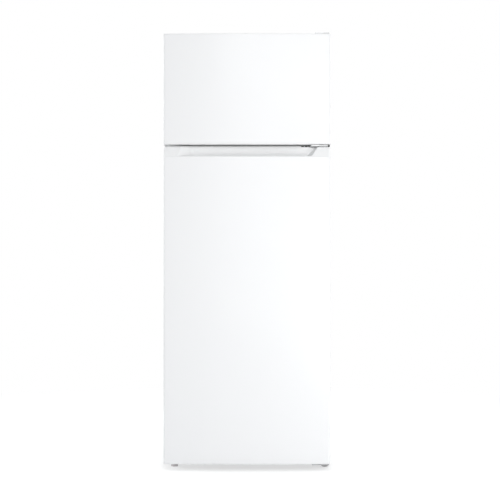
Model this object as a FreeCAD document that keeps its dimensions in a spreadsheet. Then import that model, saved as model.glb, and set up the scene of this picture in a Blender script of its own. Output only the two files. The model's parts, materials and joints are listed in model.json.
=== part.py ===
import FreeCAD, Part
import math
import operator
import os
import Sketcher

# A refrigerator with a freezer door above and a larger door below, both hinged on the right.
# +Z is up, the doors face -Y, and the hinges are on the +X side. The origin lies on the floor,
# under the middle of the whole box. Lengths are in millimetres.

SIZES = [
    ("overall_width", 545, "width over the side panels and the doors"),
    ("overall_depth", 555, "depth from the crown of the doors to the spacers at the back"),
    ("door_bottom_height", 20, "lower edge of the fridge door above the floor"),
    ("fridge_door_height", 1034, "height of the fridge door"),
    ("door_gap", 8, "gap between the two doors"),
    ("freezer_door_height", 361, "height of the freezer door"),
    ("top_gap", 2, "top panel above the freezer door"),
    ("base_height", 30, "underside of the cabinet above the floor"),
    ("sheet_thickness", 1, "steel sheet of the cabinet and the doors"),
    ("seat_clearance", 0.3, "clearance of a piece that is laid or pushed in place"),
    ("pin_clearance", 0.05, "radial clearance of a pin or a shaft in its bore"),
    ("cut_overrun", 5, "run of a cut past the face that it opens"),
    ("gasket_space", 12, "space between a door and the front of the cabinet"),
    ("condenser_space", 30.5, "space behind the back panel"),
    ("side_flange_width", 36, "front flange of a side panel"),
    ("top_rail_height", 25, "front flange of the top panel"),
    ("bottom_rail_height", 28, "front flange of the base panel"),
    ("middle_rail_height", 30, "rail between the two compartments"),
    ("middle_rail_depth", 12, "flanges of the middle rail"),
    ("fold_radius", 3, "fold of the steel sheet"),
    ("freezer_wall", 55, "side wall beside the freezer"),
    ("freezer_back_wall", 62, "back wall behind the freezer"),
    ("fridge_wall", 44.5, "side wall beside the fridge"),
    ("fridge_back_wall", 52, "back wall behind the fridge"),
    ("ceiling_wall", 55, "wall above the freezer"),
    ("floor_wall", 45, "wall under the fridge"),
    ("hump_wall", 42, "wall round the compressor compartment"),
    ("compartment_headroom", 20.7, "ceiling of the compressor compartment above the water tray"),
    ("compressor_room", 10.5, "compartment before and behind the compressor"),
    ("liner_thickness", 2, "wall of a liner"),
    ("liner_lip", 10, "liner between the middle rail and the opening"),
    ("liner_radius", 18, "inner corners of a liner"),
    ("rib_width", 12, "shelf rib on the liner"),
    ("rib_height", 9, "shelf rib on the liner"),
    ("shelf_side_gap", 1.5, "glass beside the liner"),
    ("shelf_back_gap", 22, "glass in front of the back of the liner"),
    ("shelf_front_gap", 34.2, "front of a shelf behind the door bins"),
    ("shelf_glass", 4, "thickness of a glass shelf"),
    ("cover_gap", 8, "crisper cover above the step of the liner"),
    ("lower_shelf_room", 185, "lower glass shelf above the crisper cover"),
    ("shelf_pitch", 180, "from one glass shelf to the next"),
    ("trim_height", 13, "moulded edge of a glass shelf"),
    ("trim_depth", 15, "moulded edge of a glass shelf"),
    ("trim_overlap", 8, "glass held inside its moulded edge"),
    ("freezer_shelf_room", 139, "wire shelf above the floor of the freezer"),
    ("wire_radius", 2.5, "rods of the wire shelf"),
    ("wire_spacing", 30, "rods of the wire shelf"),
    ("door_bow", 8, "crown of a door's front"),
    ("door_thickness", 48, "door at its side edges"),
    ("door_corner_radius", 6, "upright front edges of a door"),
    ("door_return", 15, "sheet folded in round the back of a door"),
    ("cap_lip", 3, "visible edge of a door's end cap"),
    ("plug_height", 12, "end cap inside the door"),
    ("grip_cap_height", 33, "sloping cap along the top of the fridge door"),
    ("grip_cap_slope", 13, "run of the sloping cap towards the back"),
    ("grip_plug_height", 24, "cap with the grip trough, inside the door"),
    ("trough_lip", 4.5, "lip in front of the grip trough"),
    ("trough_rise", 2.5, "front edge of the trough above the crease of the cap"),
    ("trough_depth", 18, "trough behind its lip"),
    ("trough_back", 38, "back of the trough behind the front of the door"),
    ("trough_back_slope", 8, "lean of the back wall of the trough"),
    ("trough_radius", 5, "corners of the grip recesses"),
    ("trough_left_inset", 57.5, "floor of the trough from the left side of the door"),
    ("trough_right_inset", 97.5, "floor of the trough from the right side of the door"),
    ("trough_left_flare", 26, "left end of the trough, floor to top"),
    ("trough_right_flare", 51, "right end of the trough, floor to top"),
    ("recess_left_inset", 54.5, "finger recess under the freezer door, from its left side"),
    ("recess_right_inset", 99.5, "finger recess, from the right side of the door"),
    ("recess_lip", 10, "wall in front of the finger recess"),
    ("recess_back", 36, "back of the recess behind the front of the door"),
    ("recess_depth", 20, "height of the finger recess"),
    ("liner_plate", 2, "flat edge of a door's inner panel"),
    ("door_plateau_gap", 3.5, "raised field of an inner panel inside its opening"),
    ("door_plateau_radius", 14, "corners of the raised field"),
    ("inner_panel_inset", 3, "inner panel from the edges of its door"),
    ("door_plateau_depth", 19.5, "raised field above the inner panel's edge"),
    ("gasket_side_inset", 20.5, "gasket from the side edges of a door"),
    ("gasket_bottom_inset", 16, "gasket from the lower edge of the fridge door"),
    ("gasket_rail_inset", 2.5, "gasket from the door edges at the middle rail"),
    ("gasket_top_inset", 4, "gasket from the upper edge of the freezer door"),
    ("gasket_radius", 8, "corners of the gasket"),
    ("gasket_width", 15, "gasket"),
    ("gasket_foot", 4, "thick foot of the gasket on the inner panel"),
    ("gasket_bulb_inset", 2.5, "magnet bulb narrower than the foot on each side"),
    ("dike_width", 22, "upright ridges of the inner panel that carry the bins"),
    ("fridge_dike_side", 2, "ridge from the side of the fridge door's raised field"),
    ("fridge_dike_depth", 45, "ridge above the raised field"),
    ("fridge_dike_foot", 9, "lower end of the ridge above the floor of the fridge"),
    ("fridge_dike_head", 73, "upper end of the ridge under the ceiling of the fridge"),
    ("freezer_dike_side", 11, "ridge from the side of the freezer door's raised field"),
    ("freezer_dike_depth", 28.5, "ridge above the raised field"),
    ("freezer_dike_inset", 8, "ridge from the ends of the freezer door's raised field"),
    ("moulding_radius", 4, "rounded edges of the inner panels"),
    ("bin_wall", 2, "wall of a door bin"),
    ("bin_side_gap", 1, "bin beside the ridges of the door"),
    ("bin_depth", 68, "door bins of the fridge door"),
    ("bottle_bin_depth", 78, "lowest bin of the fridge door"),
    ("freezer_bin_depth", 52, "bins of the freezer door"),
    ("bottle_bin_height", 110, "lowest bin of the fridge door"),
    ("bin_height", 72, "other bins"),
    ("bin_radius", 10, "upright corners of a bin"),
    ("bin_lug_width", 10, "lug under the end of a bin"),
    ("bin_lug_height", 8, "lug under the end of a bin"),
    ("bin_lug_depth", 30, "lug under the end of a bin"),
    ("bottle_bin_lift", 17, "bottle bin above the floor of the fridge"),
    ("lower_bin_lift", 253, "next bin above the bottle bin"),
    ("fridge_bin_pitch", 235, "from one bin of the fridge door to the next"),
    ("freezer_bin_lift", 45, "lower bin above the floor of the freezer"),
    ("freezer_bin_pitch", 132, "from one bin of the freezer door to the next"),
    ("hinge_axis_inset", 18.5, "hinge axis from the right side"),
    ("hinge_axis_back", 24.5, "hinge axis behind the side edges of the doors' front"),
    ("pin_radius", 4, "hinge pins"),
    ("pin_length", 11, "hinge pins in their bores"),
    ("pin_bore_extra", 1.5, "bore deeper than its pin"),
    ("pin_collar_radius", 6.5, "collar that a door stands on"),
    ("pin_play", 0.3, "door above its collar"),
    ("hinge_plate", 3, "thickness of the hinge plates"),
    ("middle_arm", 4, "thickness of the middle hinge's arm"),
    ("hinge_margin", 15, "hinge plate beyond the pin"),
    ("top_hinge_length", 75, "top hinge plate along the depth"),
    ("top_hinge_width", 47, "top hinge plate on the cabinet"),
    ("middle_hinge_width", 59, "screwed plate of the middle hinge"),
    ("middle_hinge_height", 10, "screwed plate of the middle hinge"),
    ("middle_hinge_offset", 32, "screwed plate from the side of the cabinet"),
    ("middle_arm_width", 63, "arm of the middle hinge"),
    ("bottom_hinge_drop", 3, "bottom hinge leaf under the door"),
    ("bottom_hinge_width", 57, "bottom hinge leaf"),
    ("bottom_hinge_length", 70, "bottom hinge on the base panel"),
    ("cover_rise", 9, "top hinge cover above the top panel"),
    ("cover_wall", 1.8, "wall of the top hinge cover"),
    ("screw_radius", 2.5, "shank of the hinge screws"),
    ("screw_head_radius", 4, "head of the hinge screws"),
    ("screw_head_height", 2.5, "head of the hinge screws"),
    ("screw_inset", 11, "screws from the edges of a hinge plate"),
    ("foot_radius", 11.5, "front feet"),
    ("foot_height", 11, "disc of a front foot"),
    ("foot_nut_radius", 8, "six-sided collar of a front foot"),
    ("foot_nut_height", 6, "six-sided collar of a front foot"),
    ("foot_stud_radius", 4, "stud of a front foot"),
    ("foot_setback", 19.5, "front feet behind the front of the cabinet"),
    ("left_foot_inset", 31.5, "left foot from the left side"),
    ("right_foot_inset", 14.5, "right foot from the right side"),
    ("roller_radius", 20, "rear rollers"),
    ("roller_width", 14, "rear rollers"),
    ("roller_inset", 47.5, "rear rollers from the sides"),
    ("roller_back", 22, "roller centre in front of the back panel"),
    ("axle_radius", 3, "axles of the rear rollers"),
    ("roller_ear", 2, "ears that carry an axle"),
    ("roller_ear_gap", 1, "ear beside a roller"),
    ("roller_room", 3, "window round a roller"),
    ("tray_thickness", 2, "plate under the compressor"),
    ("tray_flange", 14, "rear flange of the plate under the compressor"),
    ("compressor_side", 70, "compressor left of the middle"),
    ("compressor_radius", 68, "shell of the compressor"),
    ("compressor_height", 140, "shell of the compressor"),
    ("compressor_seam", 4, "welded seam round the shell"),
    ("compressor_foot_length", 190, "foot plate of the compressor"),
    ("compressor_foot_width", 120, "foot plate of the compressor"),
    ("compressor_foot_plate", 3, "foot plate of the compressor"),
    ("grommet_radius", 11, "rubber feet of the compressor"),
    ("grommet_height", 13, "rubber feet of the compressor"),
    ("relay_width", 42, "electric cover on the side of the compressor"),
    ("relay_length", 60, "electric cover"),
    ("relay_height", 66, "electric cover"),
    ("gland_radius", 7, "cord inlet of the electric cover"),
    ("gland_length", 10, "cord inlet of the electric cover"),
    ("gland_bore", 4, "radius of the cord inlet's bore"),
    ("drip_tray_length", 170, "water tray on the compressor"),
    ("drip_tray_width", 96, "water tray on the compressor"),
    ("drip_tray_height", 26, "water tray on the compressor"),
    ("drip_tray_wall", 2, "water tray on the compressor"),
    ("spout_radius", 8, "drain spout"),
    ("spout_length", 14, "drain spout under the compartment's ceiling"),
    ("spout_flange", 4, "flange of the drain spout"),
    ("condenser_bottom", 330, "lowest run of the condenser above the floor"),
    ("condenser_pitch", 65, "runs of the condenser"),
    ("condenser_top_gap", 180, "room above the condenser"),
    ("condenser_inset", 35.5, "condenser from the sides to its bends"),
    ("condenser_bend", 30, "bends of the condenser tube"),
    ("condenser_outlet_inset", 20.5, "last leg of the condenser tube from the right side"),
    ("condenser_end_height", 200, "ends of the condenser tube above the floor"),
    ("condenser_tube_radius", 2.5, "condenser tube"),
    ("condenser_stand", 15, "condenser tube behind the back panel"),
    ("condenser_wire_radius", 0.8, "condenser wires"),
    ("condenser_wire_pitch", 13, "condenser wires"),
    ("condenser_wire_end", 14, "wires beyond the outer runs"),
    ("spacer_width", 18, "spacers behind the back panel"),
    ("spacer_height", 30, "spacers behind the back panel"),
    ("spacer_side", 145, "spacers from the middle"),
    ("pipe_radius", 3, "refrigerant pipes"),
    ("pipe_bend", 18, "bends of the refrigerant pipes"),
    ("drier_radius", 9, "filter drier"),
    ("drier_length", 90, "filter drier"),
    ("plate_thickness", 1.6, "evaporator plates"),
    ("plate_stand", 10, "evaporator plates from the liner"),
    ("channel_height", 1.8, "raised channel of an evaporator plate"),
    ("channel_width", 9, "raised channel of an evaporator plate"),
    ("channel_pitch", 42, "runs of the raised channel"),
    ("stud_radius", 5, "studs of the evaporator plates"),
    ("fridge_plate_width", 300, "evaporator plate of the fridge"),
    ("fridge_plate_height", 260, "evaporator plate of the fridge"),
    ("fridge_plate_top_gap", 93, "evaporator plate of the fridge under the ceiling"),
    ("freezer_plate_side_gap", 17.5, "evaporator plate of the freezer beside the liner"),
    ("freezer_plate_front", 84.5, "evaporator plate of the freezer behind the front of the cabinet"),
    ("freezer_plate_drop", 110, "evaporator plate of the freezer down its back wall"),
    ("console_width", 180, "control housing under the fridge ceiling"),
    ("console_depth", 202, "control housing"),
    ("console_height", 48, "control housing"),
    ("console_gap", 8, "control housing behind the door's raised field"),
    ("console_radius", 8, "corners of the control housing"),
    ("lamp_left", 70, "lamp window left of the middle"),
    ("lamp_right", 12, "lamp window right of the middle"),
    ("lamp_front", 84, "lamp window in front of the back of the housing"),
    ("lamp_back", 14, "lamp window in front of the back of the housing"),
    ("lamp_room", 36, "height of the lamp's chamber"),
    ("lamp_cover_wall", 2, "lamp cover"),
    ("bulb_radius", 11, "lamp bulb"),
    ("bulb_length", 38, "lamp bulb"),
    ("bulb_base_radius", 7, "screw base of the bulb"),
    ("bulb_base_length", 16, "screw base of the bulb"),
    ("knob_radius", 20, "thermostat knob"),
    ("knob_height", 14, "thermostat knob"),
    ("knob_shaft_radius", 3, "thermostat shaft"),
    ("knob_shaft_length", 12, "thermostat shaft"),
    ("knob_side", 50, "thermostat knob right of the middle"),
    ("knob_back", 62, "thermostat knob behind the front of the housing"),
    ("knob_grip_width", 7, "grip bar across the knob"),
    ("knob_disc_height", 5, "disc of the knob"),
    ("knob_cone", 3, "narrowing of the knob's disc"),
    ("switch_radius", 4, "light switch plunger"),
    ("switch_side", 45, "light switch left of the middle"),
    ("switch_drop", 22, "light switch under the fridge ceiling"),
    ("switch_length", 26, "light switch plunger"),
    ("crisper_side_gap", 6, "rim of the crisper drawer beside the liner"),
    ("crisper_side_draft", 15, "crisper drawer narrower at its floor"),
    ("crisper_front_gap", 9.7, "crisper front behind the bottle bin"),
    ("crisper_front_draft", 8, "crisper front slopes back to its floor"),
    ("crisper_back_gap", 6, "crisper in front of the hump"),
    ("crisper_top_gap", 14.7, "rim of the crisper drawer under its cover"),
    ("crisper_wall", 2.5, "crisper drawer"),
    ("crisper_radius", 12, "upright corners of the crisper"),
    ("crisper_grip_width", 130, "grip at the crisper's front"),
    ("crisper_grip_height", 14, "grip at the crisper's front"),
    ("crisper_grip_depth", 11, "grip at the crisper's front"),
    ("runner_height", 5, "runners under the crisper"),
    ("runner_width", 10, "runners under the crisper"),
    ("runner_side", 150, "runners from the middle"),
]

doc = FreeCAD.newDocument("refrigerator")
sheet = doc.addObject("Spreadsheet::Sheet", "sizes")
for row, (alias, number, meaning) in enumerate(SIZES, start=1):
    sheet.set(f"A{row}", meaning)
    sheet.set(f"B{row}", str(number))
    sheet.setAlias(f"B{row}", alias)
doc.recompute()

SIGNS = {"+": operator.add, "-": operator.sub, "*": operator.mul, "/": operator.truediv}


class Length:
    """A length as an expression on the sheet, with its value beside it."""

    def __init__(self, text, value):
        self.text = text
        self.value = value

    def __add__(self, other):
        return combine(self, "+", other)

    def __radd__(self, other):
        return combine(other, "+", self)

    def __sub__(self, other):
        return combine(self, "-", other)

    def __rsub__(self, other):
        return combine(other, "-", self)

    def __mul__(self, other):
        return combine(self, "*", other)

    def __rmul__(self, other):
        return combine(other, "*", self)

    def __truediv__(self, other):
        return combine(self, "/", other)

    def __neg__(self):
        return combine(0, "-", self)


def as_length(item):
    return item if isinstance(item, Length) else Length(f"({float(item)!r})", float(item))


def combine(left, sign, right):
    left, right = as_length(left), as_length(right)
    return Length(f"({left.text} {sign} {right.text})", SIGNS[sign](left.value, right.value))


def bind(item, path, length):
    item.setExpression(path, as_length(length).text)


class Sizes:
    """Reads a named size of the sheet as a Length."""

    def __getattr__(self, alias):
        return Length(f"sizes.{alias}", float(getattr(sheet, alias)))


size = Sizes()

# Sketch planes: what the first and second sketch direction are, and the sign of the normal.
PLANES = {"x": ("YZ_Plane", 1), "y": ("XZ_Plane", -1), "z": ("XY_Plane", 1)}
SAME_PLACE = 1e-3

# Forms that follow a neighbouring size, as shares of it.
quarter_bow_share = 1 - math.sqrt(0.5)
top_screw_shares = ((1.6, 1.4), (1.6, 4.0), (3.6, 5.8))
middle_screw_shares = (0.7, 1.8)
bottom_screw_shares = (1, 3)
bead_place_share = 0.86
bulb_tip_share = 0.8
hub_share = 0.35
web_share = 0.6
shell_foot_share = 0.9
seam_share = 0.68
grommet_rim_share = 0.33
grommet_waist_share = 0.75
spout_tip_share = 0.75
spacer_nose_share = 0.62
leg_bend_share = 0.7
drier_place_share = 0.33
pipe_level_share = 0.14


class Circle:
    def __init__(self, across, up, radius):
        self.across, self.up, self.radius = across, up, radius


def unit(start, end):
    run = (end[0].value - start[0].value, end[1].value - start[1].value)
    reach = math.hypot(*run)
    return run[0] / reach, run[1] / reach


def trace(outline, closed):
    """Turns corners (across, up, radius, bow) into straight and bowed edges.

    A corner's radius rounds it. Its bow is the height of the arc to the next corner, and
    bulges to the right of the way along the outline.
    """
    corners = []
    for corner in outline:
        values = [as_length(item) for item in corner]
        corners.append(values + [as_length(0)] * (4 - len(values)))
    count = len(corners)
    edges = []
    joints = []
    for index, (across, up, radius, bow) in enumerate(corners):
        ends_path = not closed and index in (0, count - 1)
        if radius.value == 0 or ends_path:
            joints.append(((across, up), (across, up)))
            continue
        before = unit(corners[index - 1], corners[index])
        after = unit(corners[index], corners[(index + 1) % count])
        turn = math.atan2(
            before[0] * after[1] - before[1] * after[0], before[0] * after[0] + before[1] * after[1]
        )
        reach = radius * math.tan(abs(turn) / 2)
        arc_start = (across - reach * before[0], up - reach * before[1])
        arc_end = (across + reach * after[0], up + reach * after[1])
        joints.append((arc_start, arc_end))
        side = 1 if turn > 0 else -1
        edges.append((index, "arc", arc_start, arc_end, radius, side * (1 - math.cos(turn / 2))))
    path = []
    rounded = {edge[0]: edge[1:] for edge in edges}
    for index in range(count):
        if index in rounded:
            path.append(rounded[index])
        if index == count - 1 and not closed:
            break
        start = joints[index][1]
        end = joints[(index + 1) % count][0]
        bow = corners[index][3]
        if bow.value == 0:
            path.append(("line", start, end, None, 0))
        else:
            square = (end[0] - start[0]) * (end[0] - start[0])
            square = square + (end[1] - start[1]) * (end[1] - start[1])
            radius = (square / 4 + bow * bow) / (2 * bow)
            if bow.value < 0:
                radius = -radius
            path.append(("bow", start, end, radius, bow.value))
    return path


def arc_middle(start, end, height):
    """The point of an arc half way along, its height to the right of the way from start to end."""
    run = unit(start, end)
    across = (start[0].value + end[0].value) / 2 + run[1] * height
    up = (start[1].value + end[1].value) / 2 - run[0] * height
    return FreeCAD.Vector(across, up, 0)


def draw(body, axis, place, outlines, closed=True):
    """A sketch square to an axis of the object, with every corner bound to the sheet."""
    role, sign = PLANES[axis]
    sketch = body.newObject("Sketcher::SketchObject", body.Name + "_sketch")
    plane = next(item for item in body.Origin.OriginFeatures if item.Role == role)
    sketch.AttachmentSupport = [(plane, "")]
    sketch.MapMode = "FlatFace"
    offset = as_length(place) * sign
    lift = FreeCAD.Vector(0, 0, offset.value)
    sketch.AttachmentOffset = FreeCAD.Placement(lift, FreeCAD.Rotation())
    bind(sketch, "AttachmentOffset.Base.z", offset)
    for outline in outlines:
        if isinstance(outline, Circle):
            draw_circle(sketch, outline)
        else:
            draw_outline(sketch, trace(outline, closed), closed)
    return sketch


def add_bound(sketch, constraints):
    """Adds constraints, each with the length that it is bound to, or None."""
    first = sketch.ConstraintCount
    sketch.addConstraint([constraint for constraint, length in constraints])
    for index, (constraint, length) in enumerate(constraints):
        if length is not None:
            bind(sketch, f"Constraints[{first + index}]", length)


def fix_point(geometry, end, point):
    """Two constraints that hold a point of the sketch at its place from the origin."""
    across, up = (as_length(item) for item in point)
    return [
        (Sketcher.Constraint("DistanceX", -1, 1, geometry, end, across.value), across),
        (Sketcher.Constraint("DistanceY", -1, 1, geometry, end, up.value), up),
    ]


def draw_circle(sketch, circle):
    across, up, radius = (as_length(item) for item in (circle.across, circle.up, circle.radius))
    centre = FreeCAD.Vector(across.value, up.value, 0)
    index = sketch.addGeometry(Part.Circle(centre, FreeCAD.Vector(0, 0, 1), radius.value))
    bounds = fix_point(index, 3, (across, up))
    bounds.append((Sketcher.Constraint("Radius", index, radius.value), radius))
    add_bound(sketch, bounds)


def draw_outline(sketch, path, closed):
    first = sketch.GeometryCount
    shapes = []
    flipped = []
    for kind, start, end, radius, height in path:
        from_point = FreeCAD.Vector(start[0].value, start[1].value, 0)
        to_point = FreeCAD.Vector(end[0].value, end[1].value, 0)
        if kind == "line":
            shapes.append(Part.LineSegment(from_point, to_point))
            flipped.append(False)
            continue
        rise = height if kind == "bow" else height * radius.value
        middle_point = arc_middle(start, end, rise)
        arc = Part.Arc(from_point, middle_point, to_point)
        shapes.append(arc)
        flipped.append(rise < 0)
    sketch.addGeometry(shapes, False)
    bounds = []
    for index, (kind, start, end, radius, height) in enumerate(path):
        geometry = first + index
        bounds += fix_point(geometry, 2 if flipped[index] else 1, start)
        following = index + 1
        if following == len(path) and not closed:
            bounds += fix_point(geometry, 1 if flipped[index] else 2, end)
        else:
            following = following % len(path)
            own_end = 1 if flipped[index] else 2
            next_start = 2 if flipped[following] else 1
            meet = Sketcher.Constraint("Coincident", geometry, own_end, first + following, next_start)
            bounds.append((meet, None))
        if kind != "line":
            bounds.append((Sketcher.Constraint("Radius", geometry, radius.value), radius))
    add_bound(sketch, bounds)


def new_body(label):
    body = doc.addObject("PartDesign::Body", label)
    body.Label = label
    return body


def pad(body, axis, low, high, *outlines):
    """Material between two places along an axis."""
    low, high = as_length(low), as_length(high)
    sketch = draw(body, axis, high if axis == "y" else low, outlines)
    feature = body.newObject("PartDesign::Pad", body.Name + "_pad")
    feature.Profile = sketch
    feature.Length = (high - low).value
    bind(feature, "Length", high - low)
    sketch.Visibility = False
    doc.recompute()
    return feature


def pocket(body, axis, low, high, *outlines):
    """A cut between two places along an axis."""
    low, high = as_length(low), as_length(high)
    before = body.Shape.Volume
    sketch = draw(body, axis, high if axis == "y" else low, outlines)
    feature = body.newObject("PartDesign::Pocket", body.Name + "_pocket")
    feature.Profile = sketch
    feature.Length = (high - low).value
    feature.Reversed = True
    bind(feature, "Length", high - low)
    doc.recompute()
    if not body.Shape.Volume < before:
        raise ValueError(f"{body.Label}: a pocket cuts nothing")
    return feature


def revolve(body, axis, centre, outline):
    """A round solid. The outline is (radius, place along the axis); centre is across it."""
    first, second = (as_length(item) for item in centre)
    if axis == "z":
        # Upright axis through (first, second) = (x, y), drawn on the XZ plane
        corners = [(first + corner[0], *corner[1:]) for corner in outline]
        sketch = draw(body, "y", second, [corners])
        line = draw(body, "y", second, [[(first, 0), (first, size.cut_overrun)]], closed=False)
    elif axis == "x":
        # Axis along X through (first, second) = (y, z), drawn on the XZ plane
        corners = [(corner[1], second + corner[0], *corner[2:]) for corner in outline]
        sketch = draw(body, "y", first, [corners])
        line = draw(body, "y", first, [[(0, second), (size.cut_overrun, second)]], closed=False)
    else:
        # Axis along Y through (first, second) = (x, z), drawn on the YZ plane
        corners = [(corner[1], second + corner[0], *corner[2:]) for corner in outline]
        sketch = draw(body, "x", first, [corners])
        line = draw(body, "x", first, [[(0, second), (size.cut_overrun, second)]], closed=False)
    feature = body.newObject("PartDesign::Revolution", body.Name + "_turned")
    feature.Profile = sketch
    feature.ReferenceAxis = (line, ["Edge1"])
    feature.Angle = 360
    line.Visibility = False
    doc.recompute()
    return feature


def loft(body, axis, sections, cut=False):
    """A ruled body through outlines at places along an axis, or a cut of that form."""
    before = body.Shape.Volume if cut else 0
    sketches = [draw(body, axis, place, [outline]) for place, outline in sections]
    kind = "Subtractive" if cut else "Additive"
    feature = body.newObject(f"PartDesign::{kind}Loft", body.Name + "_loft")
    feature.Profile = sketches[0]
    feature.Sections = sketches[1:]
    feature.Ruled = True
    doc.recompute()
    if cut and not body.Shape.Volume < before:
        raise ValueError(f"{body.Label}: a lofted cut removes nothing")
    return feature


def lies_at(edge, axis, place):
    """True for an edge that lies in the plane at a place on an axis."""
    box = edge.BoundBox
    low, high = getattr(box, axis.upper() + "Min"), getattr(box, axis.upper() + "Max")
    value = as_length(place).value
    return abs(low - value) < SAME_PLACE and abs(high - value) < SAME_PLACE


def fillet(body, radius, picked):
    """Rounds the edges of the body's last feature that picked accepts."""
    base = body.Tip
    names = [f"Edge{index}" for index, edge in enumerate(base.Shape.Edges, start=1) if picked(edge)]
    if not names:
        raise ValueError(f"{body.Label}: no edge to round")
    feature = body.newObject("PartDesign::Fillet", body.Name + "_fillet")
    feature.Base = (base, names)
    feature.Radius = as_length(radius).value
    bind(feature, "Radius", radius)
    doc.recompute()
    return feature


def block(label, low, high):
    """A box between two corners."""
    item = doc.addObject("Part::Box", label)
    item.Label = label
    for name, axis, start, end in zip(("Length", "Width", "Height"), "xyz", low, high):
        bind(item, name, as_length(end) - start)
        bind(item, f"Placement.Base.{axis}", start)
    return item


def group(label, members):
    """Separate solids that share one node."""
    item = doc.addObject("Part::Compound", label)
    item.Label = label
    item.Links = members
    return item


def rectangle(left, right, low, high, radius=0):
    return [
        (left, low, radius),
        (right, low, radius),
        (right, high, radius),
        (left, high, radius),
    ]


def band(points, width, bend):
    """The outline of a strip of one width along a path with square turns."""
    points = [tuple(as_length(item) for item in point) for point in points]
    left, right = [], []
    last = len(points) - 1
    for index, (across, up) in enumerate(points):
        before = unit(points[index - 1], points[index]) if index > 0 else None
        after = unit(points[index], points[index + 1]) if index < last else None
        ways = [way for way in (before, after) if way]
        shift_across = sum(-way[1] for way in ways) * (width / 2)
        shift_up = sum(way[0] for way in ways) * (width / 2)
        inner = outer = 0
        if len(ways) == 2:
            turn = before[0] * after[1] - before[1] * after[0]
            inner, outer = (bend - width / 2, bend + width / 2)[:: 1 if turn > 0 else -1]
        left.append((across + shift_across, up + shift_up, inner))
        right.append((across - shift_across, up - shift_up, outer))
    return right + left[::-1]


def in_order(*places):
    """Places sorted from the lowest to the highest."""
    return sorted(places, key=lambda item: item.value)


nodes = []


def keep(item):
    """Marks a finished sub-part, which is written to its own file."""
    nodes.append(item)
    return item


# Main planes and places, all worked out from the sheet.

over = size.cut_overrun
skin = size.sheet_thickness
half_width = size.overall_width / 2
back = size.overall_depth / 2
door_front = size.door_bow - back
door_back = door_front + size.door_thickness
front = door_back + size.gasket_space
rear = back - size.condenser_space
base = size.base_height

fridge_door_bottom = size.door_bottom_height
fridge_door_top = fridge_door_bottom + size.fridge_door_height
freezer_door_bottom = fridge_door_top + size.door_gap
freezer_door_top = freezer_door_bottom + size.freezer_door_height
cabinet_top = freezer_door_top + size.top_gap

inside_width = half_width - skin
frame_width = half_width - size.side_flange_width
rail_middle = fridge_door_top + size.door_gap / 2
rail_bottom = rail_middle - size.middle_rail_height / 2
rail_top = rail_middle + size.middle_rail_height / 2
top_rail_bottom = cabinet_top - size.top_rail_height
bottom_rail_top = base + size.bottom_rail_height

freezer_floor = rail_top + size.liner_lip
freezer_ceiling = cabinet_top - size.ceiling_wall
freezer_half = half_width - size.freezer_wall
freezer_back = rear - size.freezer_back_wall
fridge_ceiling = rail_bottom - size.liner_lip
fridge_floor = base + size.floor_wall
fridge_half = half_width - size.fridge_wall
fridge_back = rear - size.fridge_back_wall
tray_top = base + size.tray_thickness
foot_plate_bottom = tray_top + size.grommet_height
shell_bottom = foot_plate_bottom + size.compressor_foot_plate
shell_top = shell_bottom + size.compressor_height
water_tray_bottom = shell_top + size.seat_clearance
compartment_top = water_tray_bottom + size.drip_tray_height + size.compartment_headroom
seam_radius = size.compressor_radius + size.compressor_seam
compartment_front = rear - 2 * (seam_radius + size.compressor_room)
hump_front = compartment_front - size.hump_wall
hump_top = compartment_top + size.hump_wall
wall = size.liner_thickness

hinge_across = half_width - size.hinge_axis_inset
hinge_deep = door_front + size.hinge_axis_back
pin_bore = size.pin_radius + size.pin_clearance
plateau = door_back + size.liner_plate + size.door_plateau_depth
plateau_half = freezer_half - size.door_plateau_gap
bins_start = plateau + size.seat_clearance

cover_level = hump_top + size.cover_gap
lower_shelf_level = cover_level + size.lower_shelf_room
shelf_levels = [lower_shelf_level + size.shelf_pitch * number for number in range(3)]
freezer_shelf_level = freezer_floor + size.freezer_shelf_room
shelf_front = bins_start + size.bin_depth + size.shelf_front_gap
rib_front = shelf_front + size.trim_depth
crisper_front = bins_start + size.bottle_bin_depth + size.crisper_front_gap

foot_deep = front + size.foot_setback
left_foot_across = size.left_foot_inset - half_width
right_foot_across = half_width - size.right_foot_inset
roller_across = half_width - size.roller_inset


# Cabinet: steel sheets, rail, foam and liners.

def side_panel(label, side):
    """An upright sheet with a wide front flange, folded with rounded edges."""
    outer = half_width * side
    inner = inside_width * side
    flange = frame_width * side
    outline = [
        (outer, front, size.fold_radius),
        (flange, front),
        (flange, front + skin),
        (inner, front + skin, size.fold_radius - skin),
        (inner, rear),
        (outer, rear),
    ]
    body = new_body(label)
    pad(body, "z", base, cabinet_top, outline)
    return keep(body)


side_panel("side_panel_left", -1)
side_panel("side_panel_right", 1)

# Hinge plates and the screws that hold them, seen from above or from the front.
plate_right = hinge_across + size.hinge_margin
plate_left = plate_right - size.top_hinge_width
plate_front = hinge_deep - size.hinge_margin
plate_end = front + size.top_hinge_length
screw_hole = size.screw_radius + size.pin_clearance
top_screws = [
    (plate_left + across * size.screw_inset, front + deep * size.screw_inset)
    for across, deep in top_screw_shares
]
middle_right = half_width - size.middle_hinge_offset
middle_left = middle_right - size.middle_hinge_width
middle_screws = [(middle_left + share * size.screw_inset, rail_middle) for share in middle_screw_shares]
arm_right = hinge_across + size.hinge_margin
arm_left = arm_right - size.middle_arm_width
leaf_left = arm_right - size.bottom_hinge_width
leaf_top = fridge_door_bottom - size.bottom_hinge_drop
leaf_bottom = leaf_top - size.hinge_plate
leaf_end = front + size.bottom_hinge_length
leaf_right = right_foot_across - size.foot_radius - size.fold_radius
leaf_middle = (leaf_left + leaf_right) / 2
bottom_screws = [(leaf_middle, leaf_end - share * size.screw_inset) for share in bottom_screw_shares]


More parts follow.
